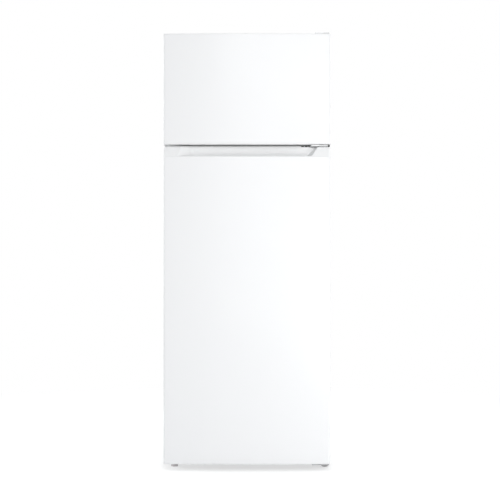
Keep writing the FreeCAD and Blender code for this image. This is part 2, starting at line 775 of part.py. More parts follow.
def top_panel():
    """The roof sheet with its front rail, drilled for the top hinge."""
    body = new_body("top_panel")
    roof = rectangle(-inside_width, inside_width, front + skin, rear)
    pad(body, "z", cabinet_top - skin, cabinet_top, roof)
    rail = rectangle(-frame_width, frame_width, top_rail_bottom, cabinet_top)
    pad(body, "y", front, front + skin, rail)
    holes = [Circle(across, deep, screw_hole) for across, deep in top_screws]
    pocket(body, "z", cabinet_top - skin, cabinet_top + over, *holes)
    return keep(body)


def middle_rail():
    """A channel across the front between the two openings."""
    outline = [
        (front, rail_bottom),
        (front + size.middle_rail_depth, rail_bottom),
        (front + size.middle_rail_depth, rail_bottom + skin),
        (front + skin, rail_bottom + skin),
        (front + skin, rail_top - skin),
        (front + size.middle_rail_depth, rail_top - skin),
        (front + size.middle_rail_depth, rail_top),
        (front, rail_top),
    ]
    body = new_body("middle_rail")
    channel_half = freezer_half + wall
    pad(body, "x", -channel_half, channel_half, outline)
    pad(body, "y", front, front + skin, rectangle(-frame_width, frame_width, rail_bottom, rail_top))
    holes = [Circle(across, up, screw_hole) for across, up in middle_screws]
    pocket(body, "y", front - over, front + 2 * skin, *holes)
    return keep(body)


def base_panel():
    """One bent sheet: front rail, floor, front wall and ceiling of the compressor compartment."""
    fold = size.fold_radius
    outline = [
        (front + skin, base),
        (compartment_front + skin, base, skin),
        (compartment_front + skin, compartment_top, fold - skin),
        (rear - skin, compartment_top),
        (rear - skin, compartment_top + skin),
        (compartment_front, compartment_top + skin, fold),
        (compartment_front, base + skin),
        (front + skin, base + skin),
    ]
    body = new_body("base_panel")
    pad(body, "x", -inside_width, inside_width, outline)
    pad(body, "y", front, front + skin, rectangle(-frame_width, frame_width, base, bottom_rail_top))
    holes = [Circle(across, deep, screw_hole) for across, deep in bottom_screws]
    pocket(body, "z", base - over, base + skin, *holes)
    return keep(body)


def back_panel():
    """The sheet behind the foam, with two long pressed beads."""
    body = new_body("back_panel")
    sheet_outline = rectangle(-inside_width, inside_width, compartment_top, cabinet_top - skin)
    pad(body, "y", rear - skin, rear, sheet_outline)
    bead = size.fold_radius
    for side in (-1, 1):
        middle = inside_width * bead_place_share * side
        low = compartment_top + size.top_rail_height
        high = cabinet_top - size.top_rail_height
        pad(body, "y", rear, rear + skin, rectangle(middle - bead, middle + bead, low, high, bead / 2))
    return keep(body)


top_panel()
middle_rail()
base_panel()
back_panel()


def insulation():
    """Foam in flat-sided blocks, each filling one wall between a liner and the sheet."""
    foam_front = front + wall
    foam_back = rear - skin
    ceiling = cabinet_top - skin
    compartment_ceiling = compartment_top + skin
    fridge_outer = fridge_half + wall
    freezer_outer = freezer_half + wall
    fridge_roof = fridge_ceiling + wall
    freezer_roof = freezer_ceiling + wall
    blocks = []
    for side, name in ((-1, "left"), (1, "right")):
        for part, inner, low, high, end in (
            ("low", fridge_outer, base + skin, compartment_ceiling, compartment_front),
            ("fridge", fridge_outer, compartment_ceiling, fridge_roof, foam_back),
            ("freezer", freezer_outer, fridge_roof, ceiling, foam_back),
        ):
            edges = in_order(inside_width * side, inner * side)
            low_corner = (edges[0], front + size.fold_radius, low)
            blocks.append(block(f"foam_{part}_{name}", low_corner, (edges[1], end, high)))
    hump_wall_front = hump_front + wall
    rail_back = front + size.middle_rail_depth
    for part, half, start, low, end, high in (
        ("floor", fridge_outer, foam_front, base + skin, hump_wall_front, fridge_floor - wall),
        ("hump_front", fridge_outer, hump_wall_front, base + skin, compartment_front, compartment_ceiling),
        ("hump_top", fridge_outer, hump_wall_front, compartment_ceiling, foam_back, hump_top - wall),
        ("fridge_back", fridge_outer, fridge_back + wall, hump_top - wall, foam_back, fridge_roof),
        ("divider", freezer_outer, rail_back, fridge_roof, foam_back, freezer_floor - wall),
        ("freezer_back", freezer_outer, freezer_back + wall, freezer_floor - wall, foam_back, freezer_roof),
        ("ceiling", freezer_outer, foam_front, freezer_roof, foam_back, ceiling),
    ):
        blocks.append(block(f"foam_{part}", (-half, start, low), (half, end, high)))
    return keep(group("insulation", blocks))


insulation()


def add_ribs(body, half, end, height):
    """A pair of ledges on the side walls of a liner, whose tops lie at one height."""
    for side in (-1, 1):
        faces = in_order(half * side, (half - size.rib_width) * side)
        pad(body, "y", rib_front, end, rectangle(*faces, height - size.rib_height, height))


def freezer_liner():
    body = new_body("freezer_liner")
    outer = freezer_half + wall
    low, high = freezer_floor - wall, freezer_ceiling + wall
    pad(body, "y", front, freezer_back + wall, rectangle(-outer, outer, low, high, size.liner_radius + wall))
    pad(body, "y", front, front + wall, rectangle(-frame_width, frame_width, rail_top, top_rail_bottom))
    opening = rectangle(-freezer_half, freezer_half, freezer_floor, freezer_ceiling, size.liner_radius)
    pocket(body, "y", front - over, freezer_back, opening)
    fillet(body, size.moulding_radius, lambda edge: lies_at(edge, "y", freezer_back))
    add_ribs(body, freezer_half, freezer_back, freezer_shelf_level)
    return keep(body)


def fridge_liner():
    """The lower tub, with its step over the compressor, shelf ledges and drawer runners."""
    body = new_body("fridge_liner")
    outer = fridge_half + wall
    around = size.moulding_radius + wall
    shell = [
        (front, fridge_floor - wall),
        (hump_front + wall, fridge_floor - wall, around),
        (hump_front + wall, hump_top - wall),
        (fridge_back + wall, hump_top - wall, around),
        (fridge_back + wall, fridge_ceiling + wall, around),
        (front, fridge_ceiling + wall),
    ]
    pad(body, "x", -outer, outer, shell)
    pad(body, "y", front, front + wall, rectangle(-frame_width, frame_width, bottom_rail_top, rail_bottom))
    inside = [
        (front - over, fridge_floor),
        (hump_front, fridge_floor, size.moulding_radius),
        (hump_front, hump_top, size.moulding_radius),
        (fridge_back, hump_top, size.moulding_radius),
        (fridge_back, fridge_ceiling, size.moulding_radius),
        (front - over, fridge_ceiling),
    ]
    pocket(body, "x", -fridge_half, fridge_half, inside)
    for height in [cover_level, *shelf_levels]:
        add_ribs(body, fridge_half, fridge_back, height)
    for side in (-1, 1):
        middle = size.runner_side * side
        half = size.runner_width / 2
        runner = rectangle(middle - half, middle + half, fridge_floor, fridge_floor + size.runner_height)
        pad(body, "y", crisper_front, hump_front, runner)
    return keep(body)


freezer_liner()
fridge_liner()


# Inside: shelves, evaporator plates, control housing and crisper.

def glass_shelf(label, height):
    """A glass plate on its ledges."""
    half = fridge_half - size.shelf_side_gap
    end = fridge_back - size.shelf_back_gap
    return block(label, (-half, shelf_front, height), (half, end, height + size.shelf_glass))


def shelf_edge(label, height, end, way):
    """A moulded edge with a groove for the glass; way is +1 where the groove opens to +Y."""
    half = fridge_half - size.shelf_side_gap
    groove = size.shelf_glass / 2 + size.seat_clearance / 2
    middle = height + size.shelf_glass / 2
    outside = end - (size.trim_depth - size.trim_overlap) * way
    inside = end + size.trim_overlap * way
    seat = end - size.seat_clearance * way
    outline = [
        (outside, middle - size.trim_height / 2, size.fold_radius),
        (inside, middle - size.trim_height / 2),
        (inside, middle - groove),
        (seat, middle - groove),
        (seat, middle + groove),
        (inside, middle + groove),
        (inside, middle + size.trim_height / 2),
        (outside, middle + size.trim_height / 2, size.fold_radius),
    ]
    body = new_body(label)
    pad(body, "x", -half, half, outline)
    return body


keep(glass_shelf("crisper_cover", cover_level))
keep(group("glass_shelves", [glass_shelf("glass_shelf", height) for height in shelf_levels]))
edges = []
for height in [cover_level, *shelf_levels]:
    edges.append(shelf_edge("shelf_front_edge", height, shelf_front, 1))
keep(group("shelf_edges", edges))


def rod(label, axis, start, end, first, second):
    """An eight-sided rod of the wire shelf along X or Y; first and second are its other two places."""
    item = doc.addObject("Part::Prism", label)
    item.Polygon = 8
    bind(item, "Circumradius", size.wire_radius)
    bind(item, "Height", as_length(end) - start)
    if axis == "x":
        item.Placement = FreeCAD.Placement(FreeCAD.Vector(), FreeCAD.Rotation(FreeCAD.Vector(0, 1, 0), 90))
        places = (start, first, second)
    else:
        item.Placement = FreeCAD.Placement(FreeCAD.Vector(), FreeCAD.Rotation(FreeCAD.Vector(1, 0, 0), -90))
        places = (first, start, second)
    for name, place in zip("xyz", places):
        bind(item, f"Placement.Base.{name}", place)
    return item


def wire_shelf():
    """The freezer's shelf: rods front to back, welded on three cross rods."""
    half = freezer_half - size.shelf_side_gap - size.wire_radius
    start = shelf_front + size.wire_radius
    end = freezer_back - size.shelf_back_gap
    low = freezer_shelf_level + size.wire_radius
    rods = []
    for number, place in enumerate((start, (start + end) / 2, end)):
        rods.append(rod(f"cross_rod_{number}", "x", -half, half, place, low))
    count = int(2 * half.value / size.wire_spacing.value)
    for number in range(count + 1):
        across = -half + 2 * half * number / count
        rods.append(rod(f"long_rod_{number}", "y", start, end, across, low))
    shelf = doc.addObject("Part::MultiFuse", "freezer_shelf")
    shelf.Label = "freezer_shelf"
    shelf.Shapes = rods
    return keep(shelf)


wire_shelf()


def meander(left, right, low, step, count):
    """A path to and fro between two sides, rising a step each time."""
    points = []
    for turn in range(count):
        height = low + step * turn
        pair = [(left, height), (right, height)]
        points += pair if turn % 2 == 0 else pair[::-1]
    return points


def fridge_evaporator():
    """A flat plate on four studs, with its refrigerant channel raised on the front."""
    half = size.fridge_plate_width / 2
    high = fridge_ceiling - size.fridge_plate_top_gap
    low = high - size.fridge_plate_height
    face = fridge_back - size.plate_stand - size.plate_thickness
    body = new_body("fridge_evaporator")
    plate = rectangle(-half, half, low, high, size.moulding_radius)
    pad(body, "y", face, fridge_back - size.plate_stand, plate)
    inset = size.channel_pitch / 2
    count = int((size.fridge_plate_height / size.channel_pitch).value)
    path = meander(inset - half, half - inset, low + inset, size.channel_pitch, count)
    pad(body, "y", face - size.channel_height, face, band(path, size.channel_width, size.channel_width))
    studs = []
    for side in (-1, 1):
        for up in (low + inset / 2, high - inset / 2):
            studs.append(Circle(side * (half - inset / 2), up, size.stud_radius))
    pad(body, "y", fridge_back - size.plate_stand, fridge_back, *studs)
    return keep(body)


def freezer_evaporator():
    """A plate under the freezer's ceiling, bent down along its back wall."""
    half = freezer_half - size.freezer_plate_side_gap
    top = freezer_ceiling - size.plate_stand
    tail = freezer_back - size.plate_stand
    start = front + size.freezer_plate_front
    thin = size.plate_thickness
    bent = size.moulding_radius
    outline = [
        (start, top - thin),
        (tail - thin, top - thin, bent - thin),
        (tail - thin, top - size.freezer_plate_drop),
        (tail, top - size.freezer_plate_drop),
        (tail, top, bent),
        (start, top),
    ]
    body = new_body("freezer_evaporator")
    pad(body, "x", -half, half, outline)
    inset = size.channel_pitch / 2
    reach = tail - start - inset
    count = int((reach / size.channel_pitch).value)
    path = meander(inset - half, half - inset, start + inset, size.channel_pitch, count)
    under = top - thin
    pad(body, "z", under - size.channel_height, under, band(path, size.channel_width, size.channel_width))
    studs = []
    for side in (-1, 1):
        for deep in (start + inset / 2, tail - inset):
            studs.append(Circle(side * (half - inset), deep, size.stud_radius))
    pad(body, "z", top, freezer_ceiling, *studs)
    return keep(body)


fridge_evaporator()
freezer_evaporator()

console_front = plateau + size.console_gap
console_back = console_front + size.console_depth
console_bottom = fridge_ceiling - size.console_height
lamp_area = (
    -size.lamp_left,
    size.lamp_right,
    console_back - size.lamp_front,
    console_back - size.lamp_back,
)
knob_deep = console_front + size.knob_back
switch_up = fridge_ceiling - size.switch_drop
switch_tip = plateau + size.seat_clearance


def control_housing():
    """The moulded housing for the lamp, the thermostat and the door switch."""
    body = new_body("control_housing")
    half = size.console_width / 2
    outline = rectangle(-half, half, console_front, console_back, size.console_radius)
    pad(body, "z", console_bottom, fridge_ceiling, outline)
    under = console_bottom
    fillet(body, size.moulding_radius, lambda edge: lies_at(edge, "z", under))
    pocket(body, "z", console_bottom - over, console_bottom + size.lamp_room, rectangle(*lamp_area))
    shaft_bore = size.knob_shaft_radius + size.pin_clearance
    bore_top = console_bottom + size.knob_shaft_length + size.seat_clearance
    pocket(body, "z", console_bottom - over, bore_top, Circle(size.knob_side, knob_deep, shaft_bore))
    switch_end = switch_tip + size.switch_length + size.seat_clearance
    switch_bore = size.switch_radius + size.pin_clearance
    pocket(body, "y", console_front - over, switch_end, Circle(-size.switch_side, switch_up, switch_bore))
    return keep(body)


def lamp_cover():
    """A clear tray that closes the lamp's chamber."""
    body = new_body("lamp_cover")
    gap = size.seat_clearance
    left, right, low, high = lamp_area
    rim = console_bottom + 3 * size.lamp_cover_wall
    pad(body, "z", console_bottom, rim, rectangle(left + gap, right - gap, low + gap, high - gap))
    inset = gap + size.lamp_cover_wall
    hollow = rectangle(left + inset, right - inset, low + inset, high - inset)
    pocket(body, "z", console_bottom + size.lamp_cover_wall, rim + over, hollow)
    return keep(body)


def lamp_bulb():
    """A small bulb lying front to back, its screw base against the chamber's back wall."""
    body = new_body("lamp_bulb")
    seat = console_back - size.lamp_back
    shoulder = seat - size.bulb_base_length
    tip = shoulder - size.bulb_length
    middle = (size.lamp_right - size.lamp_left) / 2
    up = console_bottom + size.lamp_room / 2 + size.lamp_cover_wall
    outline = [
        (0, seat),
        (0, tip),
        (size.bulb_radius, tip, size.bulb_radius * bulb_tip_share),
        (size.bulb_radius, shoulder - size.bulb_base_radius, size.bulb_base_radius / 2),
        (size.bulb_base_radius, shoulder),
        (size.bulb_base_radius, seat),
    ]
    revolve(body, "y", (middle, up), outline)
    return keep(body)


def thermostat_knob():
    """A coned disc with a grip bar, and its shaft in the housing."""
    body = new_body("thermostat_knob")
    top = console_bottom - size.seat_clearance
    disc = top - size.knob_disc_height
    outline = [
        (0, disc),
        (size.knob_radius - size.knob_cone, disc),
        (size.knob_radius, top),
        (size.knob_shaft_radius, top),
        (size.knob_shaft_radius, console_bottom + size.knob_shaft_length),
        (0, console_bottom + size.knob_shaft_length),
    ]
    revolve(body, "z", (size.knob_side, knob_deep), outline)
    grip = size.knob_grip_width / 2
    reach = size.knob_radius - size.knob_cone
    sides = (size.knob_side - grip, size.knob_side + grip)
    bar = rectangle(*sides, knob_deep - reach, knob_deep + reach, grip / 2)
    bottom = console_bottom - size.knob_height
    pad(body, "z", bottom, disc, bar)
    fillet(body, grip / 2, lambda edge: lies_at(edge, "z", bottom))
    return keep(body)


def light_switch():
    """The plunger that the fridge door holds in."""
    body = new_body("light_switch")
    tip_radius = size.switch_radius / 2
    outline = [
        (0, switch_tip),
        (size.switch_radius, switch_tip, tip_radius),
        (size.switch_radius, switch_tip + size.switch_length),
        (0, switch_tip + size.switch_length),
    ]
    revolve(body, "y", (-size.switch_side, switch_up), outline)
    return keep(body)


control_housing()
lamp_cover()
lamp_bulb()
thermostat_knob()
light_switch()


def crisper_drawer():
    """A tapered drawer on two runners, with a moulded grip along its front."""
    body = new_body("crisper_drawer")
    back_face = hump_front - size.crisper_back_gap
    low = fridge_floor + size.runner_height + size.seat_clearance
    high = cover_level - size.crisper_top_gap

    def section(height, inset):
        rise = (height - low) / (high - low)
        half = fridge_half - size.crisper_side_gap - size.crisper_side_draft * (1 - rise) - inset
        start = crisper_front + size.crisper_front_draft * (1 - rise) + inset
        return rectangle(-half, half, start, back_face - inset, size.crisper_radius - inset)

    loft(body, "z", [(low, section(low, 0)), (high, section(high, 0))])
    floor = low + size.crisper_wall
    top = high + over
    thick = size.crisper_wall
    loft(body, "z", [(floor, section(floor, thick)), (top, section(top, thick))], cut=True)
    half = size.crisper_grip_width / 2
    grip_top = high - size.crisper_wall
    grip_low = grip_top - size.crisper_grip_height
    hook = [
        (crisper_front + thick, grip_top),
        (crisper_front - size.crisper_grip_depth, grip_top, size.fold_radius),
        (crisper_front - size.crisper_grip_depth, grip_low),
        (crisper_front - size.crisper_grip_depth + thick, grip_low),
        (crisper_front - size.crisper_grip_depth + thick, grip_top - thick),
        (crisper_front + thick, grip_top - thick),
    ]
    pad(body, "x", -half, half, hook)
    return keep(body)


crisper_drawer()


# Compressor compartment and the back.

compressor_across = -size.compressor_side
compressor_deep = (compartment_front + skin + rear) / 2
roller_deep = rear - size.roller_back
ear_inner = size.roller_width / 2 + size.roller_ear_gap
ear_outer = ear_inner + size.roller_ear


def compressor_tray():
    """The plate across the bottom of the compartment, with the ears of the rear rollers."""
    body = new_body("compressor_tray")
    end = rear - skin
    plate = rectangle(-inside_width, inside_width, compartment_front + skin, end)
    pad(body, "z", base, tray_top, plate)
    flange = rectangle(-inside_width, inside_width, tray_top, tray_top + size.tray_flange)
    pad(body, "y", end - size.tray_thickness, end, flange)
    reach = size.roller_radius + size.roller_room
    for side in (-1, 1):
        middle = roller_across * side
        window_end = end - size.tray_thickness
        window = rectangle(middle - ear_inner, middle + ear_inner, roller_deep - reach, window_end)
        pocket(body, "z", base - over, tray_top + over, window)
        for ear_side in (-1, 1):
            faces = in_order(middle + ear_inner * ear_side, middle + ear_outer * ear_side)
            half = size.roller_radius / 2
            low = size.roller_radius - half
            ear = [
                (roller_deep - half, low, half / 2),
                (roller_deep + half, low, half / 2),
                (roller_deep + half, base),
                (roller_deep - half, base),
            ]
            pad(body, "x", *faces, ear)
            bore = Circle(roller_deep, size.roller_radius, size.axle_radius + size.pin_clearance)
            pocket(body, "x", faces[0] - size.roller_ear / 2, faces[1] + size.roller_ear / 2, bore)
    return keep(body)


def rear_roller(label, side):
    body = new_body(label)
    bore = size.axle_radius + size.pin_clearance
    half = size.roller_width / 2
    middle = roller_across * side
    hub = size.roller_radius * hub_share
    outline = [
        (bore, middle - half),
        (hub, middle - half),
        (hub, middle - half * web_share),
        (size.roller_radius - size.fold_radius, middle - half * web_share),
        (size.roller_radius - size.fold_radius, middle - half),
        (size.roller_radius, middle - half, size.fold_radius / 2),
        (size.roller_radius, middle + half, size.fold_radius / 2),
        (size.roller_radius - size.fold_radius, middle + half),
        (size.roller_radius - size.fold_radius, middle + half * web_share),
        (hub, middle + half * web_share),
        (hub, middle + half),
        (bore, middle + half),
    ]
    revolve(body, "x", (roller_deep, size.roller_radius), outline)
    return keep(body)


def roller_axle(label, side):
    body = new_body(label)
    middle = roller_across * side
    reach = ear_outer + skin
    pad(body, "x", middle - reach, middle + reach, Circle(roller_deep, size.roller_radius, size.axle_radius))
    return body


compressor_tray()
rear_roller("rear_roller_left", -1)
rear_roller("rear_roller_right", 1)
keep(group("roller_axles", [roller_axle("axle_left", -1), roller_axle("axle_right", 1)]))


def compressor():
    """A domed steel can with its welded seam, on a foot plate."""
    body = new_body("compressor")
    radius = size.compressor_radius
    seam_low = shell_bottom + size.compressor_height * seam_share
    seam_high = seam_low + size.compressor_seam
    outline = [
        (0, shell_bottom - size.compressor_foot_plate / 2),
        (radius * shell_foot_share, shell_bottom - size.compressor_foot_plate / 2),
        (radius, shell_bottom + radius / 4, radius / 4),
        (radius, seam_low),
        (seam_radius, seam_low),
        (seam_radius, seam_high),
        (radius, seam_high),
        (radius, shell_top, radius / 2),
        (0, shell_top),
    ]
    revolve(body, "z", (compressor_across, compressor_deep), outline)
    half = size.compressor_foot_length / 2
    wide = size.compressor_foot_width / 2
    plate = rectangle(
        compressor_across - half,
        compressor_across + half,
        compressor_deep - wide,
        compressor_deep + wide,
        size.grommet_radius,
    )
    pad(body, "z", foot_plate_bottom, shell_bottom, plate)
    return keep(body)


def compressor_grommets():
    """Four rubber feet under the corners of the foot plate."""
    feet = []
    along = size.compressor_foot_length / 2 - size.grommet_radius
    wide = size.compressor_foot_width / 2 - size.grommet_radius
    waist = size.grommet_radius * grommet_waist_share
    rim = size.grommet_height * grommet_rim_share
    for number, (first, second) in enumerate(((-1, -1), (-1, 1), (1, -1), (1, 1))):
        body = new_body(f"grommet_{number}")
        outline = [
            (0, tray_top),
            (size.grommet_radius, tray_top),
            (size.grommet_radius, tray_top + rim),
            (waist, tray_top + size.grommet_height / 2),
            (size.grommet_radius, foot_plate_bottom - rim),
            (size.grommet_radius, foot_plate_bottom),
            (0, foot_plate_bottom),
        ]
        centre = (compressor_across + along * first, compressor_deep + wide * second)
        revolve(body, "z", centre, outline)
        feet.append(body)
    return keep(group("compressor_grommets", feet))


def relay_cover():
    """The electric cover on the shell's right side, with the bored inlet for the cord."""
    body = new_body("relay_cover")
    shell_face = compressor_across + size.compressor_radius
    outer = shell_face + size.relay_width / 2
    low = shell_bottom + size.grommet_height
    outline = rectangle(
        shell_face - size.relay_width / 2,
        outer,
        compressor_deep - size.relay_length / 2,
        compressor_deep + size.relay_length / 2,
        size.moulding_radius,
    )
    pad(body, "z", low, low + size.relay_height, outline)
    fit = size.compressor_radius + size.seat_clearance
    shell = Circle(compressor_across, compressor_deep, fit)
    pocket(body, "z", low - over, low + size.relay_height + over, shell)
    across = outer - size.gland_radius - size.moulding_radius
    up = low + size.gland_radius + size.moulding_radius
    face = compressor_deep + size.relay_length / 2
    pad(body, "y", face, face + size.gland_length, Circle(across, up, size.gland_radius))
    bore = Circle(across, up, size.gland_bore)
    pocket(body, "y", face, face + size.gland_length + over, bore)
    return keep(body)


def drip_tray():
    """The water tray that stands on the warm compressor, under the drain spout."""
    body = new_body("drip_tray")
    low = water_tray_bottom
    half = size.drip_tray_length / 2
    wide = size.drip_tray_width / 2
    corner = size.moulding_radius * 3
    across, deep = compressor_across, compressor_deep

    def section(inset, spread):
        return rectangle(
            across - half - spread + inset,
            across + half + spread - inset,
            deep - wide - spread + inset,
            deep + wide + spread - inset,
            corner - inset,
        )

    high = low + size.drip_tray_height
    thick = size.drip_tray_wall
    loft(body, "z", [(low, section(0, 0)), (high, section(0, thick))])
    cut_top = high + over
    cut_spread = thick * (cut_top - low) / size.drip_tray_height
    loft(body, "z", [(low + thick, section(thick, 0)), (cut_top, section(thick, cut_spread))], cut=True)
    return keep(body)


def drain_spout():
    """The spout that leads melt water from the fridge into the tray."""
    body = new_body("drain_spout")
    flange = size.spout_radius + size.spout_flange
    bore = size.spout_radius / 2
    outline = [
        (bore, compartment_top),
        (flange, compartment_top),
        (flange, compartment_top - size.spout_flange),
        (size.spout_radius, compartment_top - size.spout_flange),
        (size.spout_radius * spout_tip_share, compartment_top - size.spout_length),
        (bore, compartment_top - size.spout_length),
    ]
    revolve(body, "z", (compressor_across + size.drip_tray_length / 4, compressor_deep), outline)
    return keep(body)


compressor()
compressor_grommets()
relay_cover()
drip_tray()
drain_spout()

condenser_deep = rear + size.condenser_stand
condenser_half = half_width - size.condenser_inset
condenser_outlet = half_width - size.condenser_outlet_inset
condenser_room = cabinet_top - size.condenser_top_gap - size.condenser_bottom
condenser_runs = 2 * int((condenser_room / (2 * size.condenser_pitch)).value) + 1
spacer_runs = (2, condenser_runs - 4)


def pipe(body, axis, place, path, profile_axis, radius):
    """A tube along a flat path; the profile stands square to the path's first edge."""
    spine = draw(body, axis, place, [path], closed=False)
    start = path[0]
    if profile_axis == "z":
        profile = draw(body, "z", start[1], [Circle(start[0], place, radius)])
    else:
        profile = draw(body, "x", start[0], [Circle(place, start[1], radius)])
    feature = body.newObject("PartDesign::AdditivePipe", body.Name + "_pipe")
    feature.Profile = profile
    feature.Spine = (spine, [f"Edge{index}" for index in range(1, len(trace(path, False)) + 1)])
    doc.recompute()
    return feature


def condenser_tube():
    """One tube to and fro behind the back panel, with a leg down at each end."""
    half = condenser_half
    bend = size.condenser_bend
    path = [(-half, size.condenser_end_height)]
    for run in range(condenser_runs):
        height = size.condenser_bottom + size.condenser_pitch * run
        last = run == condenser_runs - 1
        far = condenser_outlet if last else half
        pair = [(-half, height, bend), (far, height, bend)]
        path += pair if run % 2 == 0 else pair[::-1]
    path.append((condenser_outlet, size.condenser_end_height))
    body = new_body("condenser_tube")
    pipe(body, "y", condenser_deep, path, "z", size.condenser_tube_radius)
    return keep(body)


def condenser_wires():
    """Upright wires, laid in turn before and behind the runs of the tube."""
    step = size.condenser_tube_radius + size.condenser_wire_radius + size.seat_clearance / 2
    low = size.condenser_bottom - size.condenser_wire_end
    high = size.condenser_bottom + size.condenser_pitch * (condenser_runs - 1) + size.condenser_wire_end
    reach = condenser_half - size.condenser_bend - size.condenser_wire_pitch / 2
    half_count = int((reach / size.condenser_wire_pitch).value)
    room = size.spacer_width / 2 + 2 * size.condenser_wire_radius
    wires = []
    for number in range(-half_count, half_count + 1):
        across = size.condenser_wire_pitch * number
        if abs(abs(across.value) - size.spacer_side.value) < room.value:
            continue
        wire = doc.addObject("Part::Prism", "condenser_wire")
        wire.Polygon = 6
        bind(wire, "Circumradius", size.condenser_wire_radius)
        bind(wire, "Height", high - low)
        deep = condenser_deep + step * (1 if number % 2 else -1)
        for name, place in zip("xyz", (across, deep, low)):
            bind(wire, f"Placement.Base.{name}", place)
        wires.append(wire)
    return keep(group("condenser_wires", wires))


def condenser_spacer(label, side, run):
    """A tapered plastic block that holds one run of the tube off the back panel."""
    height = size.condenser_bottom + size.condenser_pitch * run
    half = size.spacer_height / 2
    nose = half * spacer_nose_share
    outline = [
        (rear, height - half),
        (back, height - nose, size.fold_radius),
        (back, height + nose, size.fold_radius),
        (rear, height + half),
    ]
    body = new_body(label)
    middle = size.spacer_side * side
    reach = size.spacer_width / 2
    pad(body, "x", middle - reach, middle + reach, outline)
    hole = Circle(condenser_deep, height, size.condenser_tube_radius + size.seat_clearance)
    pocket(body, "x", middle - reach - over, middle + reach + over, hole)
    return body


def bent_tube(points, radius, bend):
    """A round tube along straight runs joined by arcs of one radius."""
    corners = [FreeCAD.Vector(*(as_length(item).value for item in point)) for point in points]
    edges = []
    start = corners[0]
    for before, corner, after in zip(corners, corners[1:], corners[2:]):
        into = (corner - before).normalize()
        out = (after - corner).normalize()
        turn = into.getAngle(out)
        reach = bend * math.tan(turn / 2)
        arc_start = corner - into * reach
        arc_end = corner + out * reach
        towards = (out - into).normalize()
        arc_middle_point = corner + towards * (bend / math.cos(turn / 2) - bend)
        edges.append(Part.makeLine(start, arc_start))
        edges.append(Part.Arc(arc_start, arc_middle_point, arc_end).toShape())
        start = arc_end
    edges.append(Part.makeLine(start, corners[-1]))
    section = Part.Wire(Part.makeCircle(radius, corners[0], corners[1] - corners[0]))
    return Part.Wire(edges).makePipeShell([section], True, True)


def formed(label, shapes):
    """A sub-part whose shape comes from Part's own functions."""
    item = doc.addObject("Part::Feature", label)
    item.Label = label
    item.Shape = shapes[0] if len(shapes) == 1 else Part.makeCompound(shapes)
    item.Placement = FreeCAD.Placement()
    return item


drier_deep = rear - (rear - compartment_front) * drier_place_share
pipe_level = size.condenser_end_height - (compartment_top - base) * pipe_level_share
drier_start = condenser_outlet - 2 * size.pipe_bend
drier_end = drier_start - size.drier_length


def refrigerant_pipes():
    """Copper pipes: compressor to condenser, condenser to drier, drier and compressor to the foam."""
    shell_left = compressor_across - size.compressor_radius - size.seat_clearance
    low = shell_bottom + size.compressor_height / 4
    high = shell_bottom + size.compressor_height / 2
    leg = -condenser_half
    suction_across = shell_left - 2 * size.pipe_bend
    runs = [
        [
            (shell_left, compressor_deep, low),
            (leg, compressor_deep, low),
            (leg, compressor_deep, pipe_level),
            (leg, condenser_deep, pipe_level),
            (leg, condenser_deep, size.condenser_end_height),
        ],
        [
            (shell_left, compressor_deep, high),
            (suction_across, compressor_deep, high),
            (suction_across, compressor_deep, compartment_top),
        ],
        [
            (condenser_outlet, condenser_deep, size.condenser_end_height),
            (condenser_outlet, condenser_deep, pipe_level),
            (condenser_outlet, drier_deep, pipe_level),
            (drier_start, drier_deep, pipe_level),
        ],
        [
            (drier_end, drier_deep, pipe_level),
            (drier_end - 2 * size.pipe_bend, drier_deep, pipe_level),
            (drier_end - 2 * size.pipe_bend, drier_deep, compartment_top),
        ],
    ]
    tubes = []
    for run in runs:
        leg_run = size.condenser_end_height.value in (run[0][2].value, run[-1][2].value)
        share = leg_bend_share if leg_run else 1
        tubes.append(bent_tube(run, size.pipe_radius.value, size.pipe_bend.value * share))
    return keep(formed("refrigerant_pipes", tubes))


def filter_drier():
    """A copper cylinder with drawn-in ends, between the condenser and the capillary."""
    body = new_body("filter_drier")
    neck = size.pipe_radius
    cone = size.drier_radius
    outline = [
        (0, drier_start),
        (neck, drier_start),
        (size.drier_radius, drier_start - cone),
        (size.drier_radius, drier_end + cone),
        (neck, drier_end),
        (0, drier_end),
    ]
    revolve(body, "x", (drier_deep, pipe_level), outline)
    return keep(body)


condenser_tube()
condenser_wires()
spacers = [
    condenser_spacer(f"spacer_{name}_{run}", side, run)
    for side, name in ((-1, "left"), (1, "right"))
    for run in spacer_runs
]
keep(group("condenser_spacers", spacers))
refrigerant_pipes()
filter_drier()


# Feet and hinges.

def front_foot(label, across):
    """A screw foot: disc, six-sided collar and stud, up to the base panel."""
    body = new_body(label)
    disc = size.foot_height
    outline = [
        (0, 0),
        (size.foot_radius, 0, size.fold_radius / 2),
        (size.foot_radius, disc, size.fold_radius / 2),
        (size.foot_stud_radius, disc),
        (size.foot_stud_radius, base),
        (0, base),
    ]
    revolve(body, "z", (across, foot_deep), outline)
    flats = []
    for number in range(6):
        angle = math.radians(60 * number)
        radius = size.foot_nut_radius
        flats.append((across + radius * math.cos(angle), foot_deep + radius * math.sin(angle)))
    pad(body, "z", disc, disc + size.foot_nut_height, flats)
    return keep(body)


front_foot("front_foot_left", left_foot_across)
front_foot("front_foot_right", right_foot_across)


def pin_pad(body, low, high, radius):
    pad(body, "z", low, high, Circle(hinge_across, hinge_deep, radius))


def top_hinge():
    """A flat plate on the roof, whose pin goes down into the freezer door."""
    body = new_body("top_hinge")
    high = cabinet_top + size.hinge_plate
    outline = rectangle(plate_left, plate_right, plate_front, plate_end, size.moulding_radius)
    pad(body, "z", cabinet_top, high, outline)
    pin_pad(body, freezer_door_top - size.pin_length, cabinet_top, size.pin_radius)
    holes = [Circle(across, deep, screw_hole) for across, deep in top_screws]
    pocket(body, "z", cabinet_top - over, high + over, *holes)
    return keep(body)


